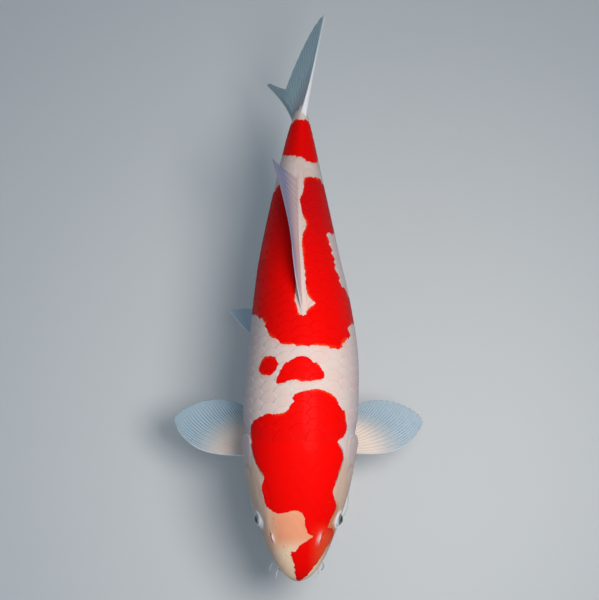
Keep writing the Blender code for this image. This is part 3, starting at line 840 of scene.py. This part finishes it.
def paintSkin(finish, scaled):
    # Red and white over skin or scales. Both read the same values, so their markings agree
    paint, mix = skinPaint, skinMix
    wobble = finish.noise(230, 3.0) * mix["coarseWobble"]
    wobble = wobble + finish.noise(700, 2.0) * mix["fineWobble"] - mix["wobbleMiddle"]
    depth = finish.value("red") + wobble * (mix["scaleWobble"] if scaled else 1.0)
    across, t, a = finish.value("across"), finish.value("t"), finish.value("a")
    mottle = finish.noise(55, 4.0)
    fine = finish.noise(600, 3.0, 0.6)

    # Painted shade and blue reflected light: the white turns darker and lavender down the flanks
    white = across.steps(*mix["shadedFlankFrom"]).mix(paint["white"], paint["shadedFlank"])
    white = across.steps(*mix["bellyFrom"]).mix(white, paint["belly"])
    onHead = t.steps(*mix["headTo"])
    middle = onHead * abs(a).steps(*mix["headMiddle"])
    white = onHead.mix(white, paint["cheek"])
    white = middle.mix(white, paint["snout"])
    forehead = middle * t.steps(*mix["foreheadFrom"]) * t.steps(*mix["foreheadTo"])
    white = forehead.mix(white, paint["forehead"])
    white = ((mottle - 0.5) * mix["mottle"] + mix["leastPink"]).mix(white, paint["pink"])
    if not scaled:
        white = (finish.value("gill") * mix["gill"]).mix(white, paint["gill"])
        white = (finish.value("lips") * mix["lips"]).mix(white, paint["lips"])

    # Painted shade: the red darkens down the flanks and towards the rear, where less light falls
    red = across.steps(*mix["shadedRedFrom"]).mix(paint["red"], paint["shadedRed"])
    shade = t.steps(*mix["shadeFrom"]) * t.steps(*mix["shadeTo"]) * mix["rearShade"]
    red = shade.mix(red, paint["shadedRed"])
    faded = t.steps(*mix["fadedTo"]) * a.steps(*mix["fadedFrom"]) * (0.35 + 0.65 * mottle)
    red = faded.mix(red, paint["fadedRed"])
    red = (depth.steps(2.4, 0.0) * mix["darkEdge"]).mix(red, paint["redEdge"])
    orange = depth.steps(2.6, 0.2) * mottle.steps(0.42, 0.62) * t.steps(*mix["orangeFrom"])
    red = (orange * mix["orangeEdge"]).mix(red, paint["orange"])
    edge = depth.steps(-mix["edge"], mix["edge"])
    under = finish.value("redAhead").steps(-1.5, 3.0) * t.steps(*mix["underFrom"])
    colour = edge.mix((under * mix["redUnder"]).mix(white, paint["pink"]), red)
    if not scaled:
        rim = finish.value("fromEye")
        overEye = across.steps(*mix["overEye"])
        ring = rim.steps(*mix["eyeRing"]) * (0.25 + 0.35 * overEye)
        colour = ring.mix(colour, paint["roundEye"])
        fringe = depth.steps(*mix["fringeDepth"]) * t.steps(*mix["fringeTo"])
        fringe = fringe * a.steps(*mix["fringeUnder"]) * t.steps(*mix["fringeFrom"])
        colour = (fringe * (1 - edge) * mix["fringe"]).mix(colour, paint["fringe"])
        ring = rim.steps(*mix["eyeRim"]) * (0.55 + 0.4 * overEye)
        colour = ring.mix(colour, overEye.mix(paint["underEye"], paint["eyeRim"]))
        colour = (finish.value("soft") * mix["nostril"]).mix(colour, paint["nostril"])
        # Painted shade in the folds, slits, pits and pores
        colour = (finish.value("dark") * mix["crease"]).mix(colour, paint["crease"])
    return colour, fine, mottle


def skinFinish():
    finish = Finish("koi_skin", wetSkin)
    colour, fine, mottle = paintSkin(finish, False)
    roughness = 0.40 + 0.12 * fine + 0.06 * mottle
    settings = {"feature": "DISTANCE_TO_EDGE"}
    inputs = {"Vector": finish.place(), "Scale": 700.0}
    cells = finish.node("ShaderNodeTexVoronoi", settings, inputs, "Distance")
    grain = cells * 0.5 + fine * 0.4 + finish.noise(190, 5.0, 0.62) * 1.6
    return finish.dress(colour, roughness, grain, 0.0002, 0.5)


koiSkin = makeSkin(skinFinish())
print("skin made:", len(koiSkin.data.polygons), "faces")

scales = {
    "countAlong": 36, "start": 0.262, "end": 0.982,
    "rowsUp": (6, 4, 0.50, 0.82),  # over the lateral line: in front, behind, and where it changes
    "rowsDown": (7, 4, 0.47, 0.84),
    "halfHeight": 0.70,  # of the distance between rows
    "front": 1.0, "rear": 1.04,  # of the distance between scales in a row
    "lift": 0.12, "rise": 0.85, "thickness": 0.45,
    "spokes": 28,
    "rings": ((0.0, 0.0), (0.40, 0.0), (0.70, 0.0), (0.88, 0.0), (0.965, 0.05), (1.0, 0.20)),
    # Millimetres: nearer the back's middle than this, a scale lies on it. Beside the back fin's
    # base a scale ends this far from the middle, and one too narrow for its row is left out
    "middleRow": 2.5, "finBase": (0.485, 0.845), "finRoom": 1.6, "narrowest": 0.15,
    "fromHead": -1.0,
    # How far each scale takes one colour of its own, and where that begins along and round
    "ownColour": (0.2, 0.55), "ownColourAt": (225, 250), "ownColourFrom": (18, 32),
    "patch": 0.0015,  # half of a scale's place on the colour map
    "pieces": 4,
}


def rowCount(spec, station):
    front, behind, start, end = spec
    return front + (behind - front) * smooth(station, start, end)


def rowShare(row, station):
    # Share round the body at which a row of scales lies: row 0 is the lateral line
    up = rowCount(scales["rowsUp"], station)
    down = rowCount(scales["rowsDown"], station)
    return np.where(row >= 0, 0.5 - 0.5 * row / up, 0.5 - 0.5 * row / down)


def scalePlaces():
    # Station, row, side and length of each scale
    length = scales["end"] - scales["start"]
    count = scales["countAlong"]  # they are a little closer together towards the tail
    for side in (1, -1):
        for row in range(-scales["rowsDown"][0], scales["rowsUp"][0] + 1):
            for number in range(-4, count + 1):
                x = (number + 0.5 * (row % 2)) / count
                station = scales["start"] + length * (1.1 * x - 0.1 * x * x)
                pitch = length * (1.1 - 0.2 * x) / count * lengthMm
                share = float(rowShare(row, station))
                if not -0.01 <= share <= 1.005 or x > 1:
                    continue
                yield station, row, side, pitch, share


def makeScale(station, row, side, pitch, share):
    # Points and values of one scale, or nothing where it has no room
    arc = float(halfArc(station))
    spec = scales["rowsUp"] if row >= 0 else scales["rowsDown"]
    rowGap = 0.5 * arc / float(rowCount(spec, station))
    halfUp = halfDown = scales["halfHeight"] * rowGap
    up = share * arc
    onFinBase = scales["finBase"][0] < station < scales["finBase"][1]
    if side < 0 and min(up, arc - up) < scales["middleRow"]:
        return None
    if up < scales["middleRow"]:
        if onFinBase:
            return None
        share = 0.0
    elif onFinBase:
        halfUp = min(halfUp, up - scales["finRoom"])
        if halfUp < scales["narrowest"] * halfDown:
            return None
    elif up < 0.5 * rowGap:
        return None
    girth = float(readChart(chartGirths, np.array(station), np.array(share)))
    if (station - float(shoulderEdge(girth))) * lengthMm < scales["fromHead"]:
        return None

    turn = 2 * math.pi * np.arange(scales["spokes"]) / scales["spokes"]
    reach, drop = np.array(scales["rings"]).T[..., None]
    dt = np.cos(turn) * np.where(np.cos(turn) > 0, scales["rear"], scales["front"]) * pitch
    da = np.sin(turn) * np.where(np.sin(turn) > 0, halfDown, halfUp)
    dt, da = reach * dt, reach * da
    climb = (dt + scales["front"] * pitch) / ((scales["front"] + scales["rear"]) * pitch)
    top = skin["depthUnderScales"] + scales["lift"] + scales["rise"] * climb
    # The underside: its rim, an inner ring and the middle
    dt = np.concatenate([dt, dt[-1:], 0.6 * dt[-1:]])
    da = np.concatenate([da, da[-1:], 0.6 * da[-1:]])
    under = top[-1:] - scales["thickness"]
    inner = 0.6 * under + 0.4 * (top[:1] - scales["thickness"])
    height = np.concatenate([top - drop, under, inner])
    places = station + dt / lengthMm
    shares = rowShare(row, np.clip(places, 0, 1)) + (share - rowShare(row, station))
    shares = shares + da / halfArc(places)
    height = height - shoulderHollow(places, readChart(chartGirths, places, np.abs(shares)))
    return places, side * shares, onBody(places, side * shares, height), dt, da


def flatten(table):
    # A scale's first ring is its middle, as one point. The middle of its underside comes last
    outer = table[1:].reshape(-1, *table.shape[2:])
    return np.concatenate([table[0, :1], outer, table[-1].mean(0, keepdims=True)])


def joinScales(found):
    # All the scales of one piece, as arrays
    spokes, bands = scales["spokes"], len(scales["rings"])
    ring = np.arange(spokes)
    after = (ring + 1) % spokes
    quads = []
    for band in range(bands):
        near, far = 1 + band * spokes, 1 + (band + 1) * spokes
        quads.append(np.stack([near + ring, far + ring, far + after, near + after], -1))
    middle = far + spokes
    fans = np.concatenate(
        [
            np.stack([0 * ring, 1 + ring, 1 + after], -1),
            np.stack([far + ring, middle + 0 * ring, far + after], -1),
        ]
    )
    quads = np.concatenate(quads)
    made = {}
    for number, (place, shape) in enumerate(found):
        station, row, side, pitch = place[:4]
        places, shares, points, dt, da = map(flatten, shape)
        t, a = places * lengthMm, shares * halfArc(places)
        middleT, middleA = station * lengthMm + 0.5 * pitch, a[0]
        # Farther back, whole scales take one colour more, but not along the back fin's stripe
        whole = smooth(middleT, *scales["ownColourAt"])
        whole = whole * smooth(abs(middleA), *scales["ownColourFrom"])
        whole = blend(*scales["ownColour"], whole)
        centre = float(redDepth(np.array(middleT), np.array(middleA)))
        turn = -1 if side > 0 else 1
        root = np.array([0.03 + 0.94 * station, 0.5 + 0.47 * shares[0]])
        spread = np.clip(np.stack([dt, da], -1) / (1.2 * pitch), -1, 1)
        rows = {
            "points": points,
            "quads": quads[:, ::turn] + number * (middle + 1),
            "fans": fans[:, ::turn] + number * (middle + 1),
            "patches": root + scales["patch"] * spread,
            "red": (1 - whole) * redDepth(t, a) + whole * centre,
            "redAhead": redDepth(t + skin["redLead"], a),
            "t": t,
            "a": a,
            "across": np.abs(shares),
            "u": dt / pitch,
            "v": da / pitch,
            "chance": np.full(len(t), chances.random()),
            "line": np.full(len(t), 1.0 * (row == 0)),
        }
        for name, table in rows.items():
            made.setdefault(name, []).append(table)
    return {name: np.concatenate(tables) for name, tables in made.items()}


def scaleFinish():
    finish = Finish("koi_scales", wetSkin)
    colour, fine = paintSkin(finish, True)[:2]
    u, v, chance, line = (finish.value(name) for name in ("u", "v", "chance", "line"))
    reach = (u * u + v * v) ** 0.5
    # Painted shade at each scale's front, where it tucks under the scale ahead, and a darker tone
    # at random from scale to scale
    colour = (0.03 * chance + 0.05 * u.steps(0.5, -0.4)).mix(colour, skinPaint["scaleToneAndShade"])
    pale = finish.value("red").steps(0.5, -0.5)
    colour = (reach.steps(0.80, 1.02) * pale * 0.10).mix(colour, skinPaint["scaleRim"])
    tube = abs(v).steps(0.11, 0.03) * u.steps(-0.15, 0.05) * u.steps(0.95, 0.80) * line
    pore = ((u - 0.80) ** 2.0 + v * v).steps(0.010, 0.003) * line
    colour = (tube * 0.20 + pore * 0.4).mix(colour, skinPaint["line"])
    roughness = 0.40 + 0.10 * fine + 0.08 * chance
    rays = finish.math("SINE", finish.math("ARCTAN2", v, u + 1.1) * 44.0)
    rings = finish.math("SINE", reach * 40.0)
    grain = rays * 0.35 + rings * 0.25 + fine * 0.8 + tube * 3.0 - pore * 4.0
    return finish.dress(colour, roughness, grain, 0.00012, 0.6)


chances = np.random.default_rng(11)


def makeScales():
    finish = scaleFinish()
    shapes = [(place, makeScale(*place)) for place in scalePlaces()]
    found = [scale for scale in shapes if scale[1] is not None]
    found.sort(key=lambda scale: scale[0][0])
    size = -(-len(found) // scales["pieces"])
    for piece in range(scales["pieces"]):
        made = joinScales(found[piece * size : (piece + 1) * size])
        points, quads, fans, patches = map(made.pop, ("points", "quads", "fans", "patches"))
        name = f"scales_{piece + 1}"
        makePiece(name, points, quads, fans, finish, (), made, patches)
    print("scales made:", len(found))


makeScales()

# Colours, thicknesses in millimetres, and the way each fin's rays go. There, two values are the
# first and the last ray's, stations are shares of the length, turns are degrees, and the rest is
# metres. Where the two sides differ, 1 is the fish's left and -1 its right
fins = {
    "dorsal_fin": {
        "rays": 20, "columns": 260, "rows": 60, "root": 2.2, "edge": 0.30, "ridge": 0.34,
        "scallop": 0.03, "clear": 0.50, "spine": 0.35, "least": 0.80, "rayTone": 0.22,
        # the back fin's dark blue membrane is painted shade and the water's blue seen through it
        "leadTone": 0.25, "flesh": (0.52, 0.37, 0.37), "membrane": (0.15, 0.18, 0.34),
        "stations": (0.500, 0.815), "sunk": 0.004, "rise": (24, 62), "lean": (22, 60),
        "length": (0.074, 0.037), "bow": (-0.0015, -0.001, 0.003),
    },
    "anal_fin": {
        "rays": 6, "columns": 110, "rows": 56, "root": 2.2, "edge": 0.30, "ridge": 0.34,
        "scallop": 0.03, "clear": 0.50, "spine": 0.8, "least": 0.40, "rayTone": 0.38,
        "stations": (0.775, 0.835), "sunk": 0.004, "fall": (54, 38), "length": (0.066, 0.034),
        "bow": (0.0, -0.002, -0.002),
    },
    "tail_fin": {
        "rays": 19, "columns": 300, "rows": 110, "root": 7.0, "edge": 0.30, "ridge": 0.42,
        "scallop": 0.02, "clear": 0.50, "spine": 1.1, "least": 0.45, "rayTone": 0.30,
        # the tail's teal membrane is painted light, the water's blue seen through it
        "bothEdges": True, "flesh": (0.36, 0.35, 0.40), "membrane": (0.10, 0.33, 0.42),
    },
    "pectoral_fin": {
        "rays": 16, "columns": 300, "rows": 90, "root": 7.0, "edge": 0.26, "ridge": 0.34,
        "scallop": 0.025, "clear": 0.66, "spine": 0.9, "least": 0.34, "rayTone": 0.45,
        "foot": (0.045, 0.146, -0.045),
        "footBack": 0.022, "footDown": 0.006,  # the last ray's foot from the first one's
        "sunk": 0.007, "length": 0.1030, "shorter": 0.070, "corner": 0.007,
        "swing": 20, "swingMore": 42, "sweep": 0.020,
        "reach": {1: 1.0, -1: 1.05}, "ahead": {1: 0.0, -1: 0.003}, "turn": {1: 0, -1: 2},
    },
    "pelvic_fin": {
        "rays": 9, "columns": 150, "rows": 60, "root": 5.0, "edge": 0.28, "ridge": 0.34,
        "scallop": 0.025, "clear": 0.55, "spine": 0.8, "least": 0.40, "rayTone": 0.38,
        "stations": (0.470, 0.500), "girth": 157, "inset": (-0.003, 0.0, 0.005), "sunk": 0.006,
        "longest": {1: 0.088, -1: 0.092}, "shortest": 0.046,
        "firstWay": {1: (0.026, 0.080, -0.018), -1: (0.074, 0.080, -0.018)},
        "lastWay": {1: (0.008, 0.050, -0.012), -1: (0.020, 0.050, -0.012)},
    },
}
# What a fin has where it names nothing else. Each ray parts in two along its way, and each
# branch again, over these shares of its length
usualFin = {
    "bothEdges": False, "leadTone": 0.8, "flesh": (0.80, 0.66, 0.56),
    # the membrane's blue is painted light, the water's blue seen through a fin
    "membrane": (0.26, 0.50, 0.66), "blush": (0.70, 0.52, 0.47), "ray": (0.72, 0.70, 0.67),
    "lead": (0.74, 0.76, 0.78), "firstParting": (0.30, 0.75), "secondParting": (0.60, 1.0),
}
fins = {name: {**usualFin, **spec} for name, spec in fins.items()}


def rayPoint(root, direction, length, bow, share):
    run = (length * share)[..., None]
    return root + unit(direction) * run + bow * (4 * share * (1 - share))[..., None]


def dorsalRay(spec, side, place, share):
    root = bodyPoint(blend(*spec["stations"], place), 0.0 * place) - (0, 0, spec["sunk"])
    rise = np.radians(blend(*spec["rise"], place))
    lean = np.radians(blend(*spec["lean"], place, 2.5))
    length = spec["sunk"] + blend(*spec["length"], place, 0.6)
    direction = vectors(-np.sin(rise) * np.sin(lean), np.cos(rise), np.sin(rise) * np.cos(lean))
    return rayPoint(root, direction, length, np.array(spec["bow"]), share)


def analRay(spec, side, place, share):
    root = bodyPoint(blend(*spec["stations"], place), math.pi + 0.0 * place)
    root = root + (0, 0, spec["sunk"])
    fall = np.radians(blend(*spec["fall"], place))
    length = spec["sunk"] + blend(*spec["length"], place, 0.7)
    direction = vectors(-0.06, np.cos(fall), -np.sin(fall))
    return rayPoint(root, direction, length, np.array(spec["bow"]), share)


def tailFinRay(spec, side, place, share):
    return tailRay(2 * place - 1, share)


def pectoralRay(spec, side, place, share):
    x, y, z = spec["foot"]
    back = y - spec["ahead"][side] + spec["footBack"] * place
    root = vectors(side * x, back, z - spec["footDown"] * place)
    swing = np.radians(spec["swing"] + spec["swingMore"] * place**1.35 + spec["turn"][side])
    length = spec["length"] - spec["shorter"] * place**1.5 - spec["corner"] * (1 - place) ** 12
    length = spec["sunk"] + spec["reach"][side] * length
    direction = vectors(side * np.cos(swing), np.sin(swing), -0.03)
    forward = spec["sweep"] * (1 - place) ** 1.3 * (0.5 + 0.84 * share)
    bow = vectors(side * forward * np.sin(swing), -forward * np.cos(swing), 0.004)
    return rayPoint(root, direction, length, bow, share)


def pelvicRay(spec, side, place, share):
    girth = side * math.radians(spec["girth"]) + 0.0 * place
    root = bodyPoint(blend(*spec["stations"], place), girth)
    root = root + np.array(spec["inset"]) * (side, 1, 1)
    first = unit(np.array(spec["firstWay"][side]) * (side, 1, 1))
    last = unit(np.array(spec["lastWay"][side]) * (side, 1, 1))
    length = spec["sunk"] + blend(spec["longest"][side], spec["shortest"], place, 1.3)
    direction = first + (last - first) * place[..., None]
    bow = vectors(0.0, -0.004 * (1 - place), 0.002)
    return rayPoint(root, direction, length, bow, share)


def makeFin(node, spec, ray, side, finish):
    lead = np.array([0.0, 0.0015, 0.004, 0.008, 0.013])
    inner = np.linspace(0.02, 0.98, spec["columns"] - 2 * len(lead))
    places = np.concatenate([lead, inner, 1 - lead[::-1]])
    shares = np.linspace(0.0, 1.0, spec["rows"])
    place, share = np.meshgrid(places, shares, indexing="ij")
    cell = np.abs(np.mod(place * (spec["rays"] - 1) + 0.5, 1.0) - 0.5)
    notch = spec["scallop"] * (cell * 2) ** 2 * 0.5 + 0.006
    middle = ray(spec, side, place, share * (1 - notch))
    across = np.gradient(middle, axis=0)
    out = unit(np.cross(across, np.gradient(middle, axis=1)))
    branch = np.abs(cell - 0.25 * smooth(share, *spec["firstParting"]))
    branch = np.abs(branch - 0.125 * smooth(share, *spec["secondParting"]))
    ridge = bell(branch, blend(0.16, 0.09, share))
    half = spec["root"] / 2 * (1 - share) ** 3 + spec["edge"] / 2
    half = half + spec["ridge"] * ridge * blend(1.0, 0.35, share)
    fromLead = np.minimum(place, 1 - place)
    fromFirst = fromLead if spec["bothEdges"] else place
    spine = spec["spine"] * bell(fromFirst, 0.022) * blend(1.0, 0.35, share)
    half = (half + spine) * np.sqrt(np.clip((fromLead + 0.0004) / 0.010, 0.0, 1.0))
    half = half * (0.25 + 0.75 * np.sqrt(np.clip((1 - share) / 0.02, 0.0, 1.0)))
    over, under = middle + out * (half * mm)[..., None], middle - out * (half * mm)[..., None]
    rows, columns = place.shape
    points = np.concatenate([over.reshape(-1, 3), under.reshape(-1, 3)])
    quads = gridQuads(rows, columns)
    border = np.concatenate(
        [
            np.arange(columns), np.arange(1, rows) * columns + columns - 1,
            (rows - 1) * columns + np.arange(columns - 2, -1, -1),
            np.arange(rows - 2, 0, -1) * columns,
        ]
    )
    size, after = rows * columns, np.roll(border, -1)
    rim = np.stack([border, border + size, after + size, after], -1)
    faces = np.concatenate([quads[:, ::-1], quads + size, rim[:, ::-1]])
    values = {"place": np.tile(place.ravel(), 2), "share": np.tile(share.ravel(), 2)}
    return makePiece(node + "_blade", points, faces, [], finish, (node,), values)


def finFinish(name, spec):
    finish = Finish(name, {
        "Metallic": 0.0, "IOR": 1.38, "Specular IOR Level": 0.32, "Coat Weight": 0.10,
        "Coat Roughness": 0.2,
    })
    place, share = finish.value("place"), finish.value("share")
    cell = abs(finish.math("FRACT", place * (spec["rays"] - 1) + 0.5) - 0.5)
    branch = abs(cell - share.steps(*spec["firstParting"]) * 0.25)
    branch = abs(branch - share.steps(*spec["secondParting"]) * 0.125)
    ray = branch.steps(0.15, 0.03)
    fromFirst = finish.math("MINIMUM", place, 1 - place) if spec["bothEdges"] else place
    lead = fromFirst.steps(0.035, 0.012)
    mottle = finish.noise(90, 3.0)
    opaque = share.steps(spec["clear"] + 0.15, spec["clear"] - 0.35)
    # Painted light and shade: out towards the edge, each fin takes the blue of water and the shade
    # seen through it
    colour = opaque.mix(spec["membrane"], spec["flesh"])
    colour = (mottle * 0.14).mix(colour, spec["blush"])
    colour = (ray * spec["rayTone"]).mix(colour, spec["ray"])
    colour = (lead * spec["leadTone"]).mix(colour, spec["lead"])
    cover = finish.math("MAXIMUM", opaque, finish.math("MAXIMUM", lead, ray * 0.55))
    least = spec["least"]
    finish.feed("Alpha", finish.math("MINIMUM", least + (1 - least) * cover, 1.0))
    joints = finish.math("SINE", share * 260.0)
    grain = ray + joints * ray * 0.25 + mottle * 0.3
    return finish.dress(colour, 0.34 + 0.16 * mottle, grain, 0.0003, 0.5)


def makeFins():
    one, pair = ((0, ""),), ((1, "_left"), (-1, "_right"))
    for kind, ray, sides in (
        ("dorsal_fin", dorsalRay, one), ("anal_fin", analRay, one), ("tail_fin", tailFinRay, one),
        ("pectoral_fin", pectoralRay, pair), ("pelvic_fin", pelvicRay, pair),
    ):
        finish = finFinish(kind + "_skin", fins[kind])
        for side, word in sides:
            makeFin(kind + word, fins[kind], ray, side, finish)


makeFins()
print("fins made")

eyes = {
    "gaze": (1.0, -0.16, 0.34), "segments": 96, "rings": 64, "cornea": 0.35, "shrink": 0.02,
    # Colours from the middle of the pupil to the white
    "stops": (
        (0.0, (0.004, 0.004, 0.006)), (0.40, (0.004, 0.006, 0.008)), (0.425, (0.34, 0.27, 0.12)),
        (0.46, (0.24, 0.25, 0.22)), (0.53, (0.05, 0.09, 0.10)), (0.60, (0.34, 0.38, 0.40)),
        (0.68, (0.62, 0.64, 0.67)), (1.0, (0.60, 0.63, 0.68)),
    ),
    "streak": (0.05, 0.05, 0.05),
}


def eyeFinish():
    finish = Finish("koi_eye", {
        "Metallic": 0.0, "Roughness": 0.12, "IOR": 1.45, "Coat Weight": 1.0,
        "Coat Roughness": 0.03,
    })
    angle = finish.value("fromGaze")
    colour = finish.node("ShaderNodeValToRGB", {"stops": eyes["stops"]}, {0: angle})
    streaks = finish.noise(900, 4.0, 0.7).steps(0.45, 0.75) * angle.steps(0.40, 0.44)
    finish.feed("Base Color", (streaks * 0.5).mix(colour, eyes["streak"]))
    return finish.material


def makeEyes():
    finish = eyeFinish()
    rows, columns = eyes["rings"] - 1, eyes["segments"]
    for word, side in (("left", 1), ("right", -1)):
        low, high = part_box("eye_" + word)
        middle = (np.array(low) + np.array(high)) / 2 - origin
        radius = (high.y - low.y) / 2
        gaze = unit(np.array(eyes["gaze"]) * (side, 1, 1))
        up = unit(np.cross(gaze, np.array([0.0, 1.0, 0.0])))
        fore = np.cross(up, gaze)
        polar = np.linspace(0.0, math.pi, eyes["rings"] + 1)[1:-1][:, None]
        turn = 2 * math.pi * np.arange(columns) / columns
        # The clear front stands out a little, and the ball is a little smaller than its room
        bulge, size = eyes["cornea"] * mm / radius, 1 - eyes["shrink"]
        swell = size + bulge * bell(polar, 0.55)
        across = up * np.cos(turn)[:, None] + fore * np.sin(turn)[:, None]
        ball = gaze * np.cos(polar)[..., None] + across * np.sin(polar)[..., None]
        ball = ball * swell[..., None]
        ends = np.stack([gaze * (size + bulge), -gaze * size])
        points = middle + radius * np.concatenate([ball.reshape(-1, 3), ends])
        quads, fans = tubeFaces(rows, columns)
        away = np.concatenate([np.repeat(polar / 1.3, columns, 1).ravel(), [0.0, 2.4]])
        values = {"fromGaze": np.clip(away, 0, 1)}
        makePiece("eyeball_" + word, points, quads, fans, finish, ("eye_" + word,), values)


makeEyes()
print("eyes made")

barbels = {
    "corner": {
        "station": 0.042, "girth": 122, "thickness": 2.6, "swell": 1.0,
        "bend": (0.0080, -0.003, -0.004), "tip": (0.0055, -0.009, -0.023),
    },
    "lip": {
        "station": 0.024, "girth": 101, "thickness": 1.8, "swell": 0.6,
        "bend": (0.0045, -0.003, -0.001), "tip": (0.0010, -0.009, -0.010),
    },
    "swing": {"left": -0.004, "right": 0.003},  # of the tips, each to its own side
    "rings": 48, "sides": 20, "taper": 0.5,
    "root": (0.62, 0.52, 0.45), "end": (0.72, 0.76, 0.80), "blush": (0.80, 0.62, 0.56),
}


def barbelFinish():
    finish = Finish("koi_barbel", {
        "Metallic": 0.0, "IOR": 1.38, "Specular IOR Level": 0.32, "Coat Weight": 0.1,
    })
    share = finish.value("share")
    mottle = finish.noise(700, 3.0)
    colour = share.steps(0.0, 0.5).mix(barbels["root"], barbels["end"])
    colour = (mottle * 0.3).mix(colour, barbels["blush"])
    grain = finish.math("SINE", share * 90.0) * 0.3 + mottle
    return finish.dress(colour, 0.34 + 0.2 * mottle, grain, 0.0001, 0.35)


def makeBarbels():
    finish = barbelFinish()
    rows, columns = barbels["rings"], barbels["sides"]
    share = np.linspace(0.0, 1.0, rows)[:, None]
    turn = 2 * math.pi * np.arange(columns) / columns
    for side, word in ((1, "left"), (-1, "right")):
        for kind in ("corner", "lip"):
            spec = barbels[kind]
            root = bodyPoint(spec["station"], side * math.radians(spec["girth"]))
            bend = root + np.array(spec["bend"]) * (side, 1, 1)
            tip = root + (np.array(spec["tip"]) + (barbels["swing"][word], 0, 0)) * (side, 1, 1)
            path = root * (1 - share) ** 2 + 2 * bend * share * (1 - share) + tip * share**2
            forward = unit(np.gradient(path, axis=0))
            aside = unit(np.cross(forward, np.array([0.0, 1.0, 0.3])))
            other = np.cross(forward, aside)
            flare = 1 + spec["swell"] * bell(share, 0.09)
            tipRound = np.sqrt(np.clip((1 - share) / 0.05, 0.0, 1.0))
            half = spec["thickness"] / 2 * (1 - barbels["taper"] * share) * flare * tipRound + 0.02
            ring = aside[:, None] * np.cos(turn)[:, None] + other[:, None] * np.sin(turn)[:, None]
            points = path[:, None] + ring * (half * mm)[..., None]
            flat = np.concatenate([points.reshape(-1, 3), path[:1], path[-1:]])
            values = {"share": np.concatenate([np.repeat(share, columns, 1).ravel(), [0.0, 1.0]])}
            quads, fans = tubeFaces(rows, columns)
            name = f"barbel_{kind}_{word}"
            makePiece(name + "_feeler", flat, quads, fans, finish, (name,), values)


makeBarbels()
print("barbels made")

stand = {
    "paint": (0.62, 0.62, 0.60), "paintCloud": (0.70, 0.70, 0.68),
    "steel": (0.56, 0.56, 0.57), "steelStreak": (0.74, 0.74, 0.74),
}


def finishStand():
    paint = Finish("stand_paint", {"Metallic": 0.0, "IOR": 1.45, "Coat Weight": 0.15})
    grain = paint.noise(900, 3.0)
    colour = (paint.noise(9, 3.0) * 0.35).mix(stand["paint"], stand["paintCloud"])
    paint.dress(colour, 0.34 + 0.12 * grain, grain, 0.0001, 0.3)
    steel = Finish("stand_steel", {"Metallic": 1.0})
    brushed = steel.noise(160, 4.0, 0.6, steel.stretched((60.0, 60.0, 1.0)))
    colour = brushed.mix(stand["steel"], stand["steelStreak"])
    steel.dress(colour, 0.24 + 0.18 * brushed, brushed, 0.00006, 0.35)
    for name, finish in (
        ("stand_base", paint), ("stand_rod_front", steel), ("stand_rod_rear", steel)
    ):
        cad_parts[name].material_slots[0].material = finish.material


finishStand()
print("stand finished")

studio = {
    "floor": (0.66, 0.67, 0.67), "floorCloud": (0.76, 0.76, 0.75),
    "air": (0.68, 0.84, 1.0), "airStrength": 0.30,
    "lights": (
        # place, aim, size, power, colour
        ("key", (0.22, -0.16, 0.88), 0.36, 5.1, (1.0, 0.97, 0.94)),
        ("fill", (-1.1, -0.6, 1.0), 1.2, 1.2, (0.62, 0.82, 1.0)),
        ("rear", (0.1, 1.4, 1.1), 0.9, 1.2, (0.92, 0.95, 1.0)),
    ),
    "elevation": 72.0, "distance": 1.352, "lens": 70.02, "aimBack": 0.5759,
}


def makeStudio():
    mesh = bpy.data.meshes.new("studio_floor")
    mesh.from_pydata([(-4, -4, 0), (4, -4, 0), (4, 4, 0), (-4, 4, 0)], [], [(0, 1, 2, 3)])
    floor = addObject("studio_floor", mesh)
    pale = Finish("studio_floor", {"Roughness": 0.7, "Specular IOR Level": 0.2})
    pale.feed("Base Color", (pale.noise(3, 2.0) * 0.1).mix(studio["floor"], studio["floorCloud"]))
    mesh.materials.append(pale.material)

    world = bpy.data.worlds.new("studio_air")
    bpy.context.scene.world = world
    world.use_nodes = True
    air = world.node_tree.nodes["Background"]
    air.inputs["Color"].default_value = (*studio["air"], 1.0)
    air.inputs["Strength"].default_value = studio["airStrength"]

    aim = Vector((0.0, snoutY + studio["aimBack"] * bodyLength, axisHeight))
    for name, place, size, power, colour in studio["lights"]:
        light = bpy.data.lights.new(name, "AREA")
        light.shape, light.size, light.energy, light.color = "DISK", size, power, colour
        lamp = addObject(name, light)
        lamp.location = place
        lamp.visible_camera = False
        lamp.rotation_euler = (aim - lamp.location).to_track_quat("-Z", "Y").to_euler()

    camera = addObject("camera", bpy.data.cameras.new("camera"))
    camera.data.lens = studio["lens"]
    camera.data.sensor_width = 36.0
    tilt = math.radians(studio["elevation"])
    back = Vector((0.0, -math.cos(tilt), math.sin(tilt)))
    camera.location = aim + studio["distance"] * back
    camera.rotation_euler = (-back).to_track_quat("-Z", "Y").to_euler()
    bpy.context.scene.camera = camera
    bpy.context.scene.view_settings.view_transform = "Standard"


makeStudio()
print("studio ready")
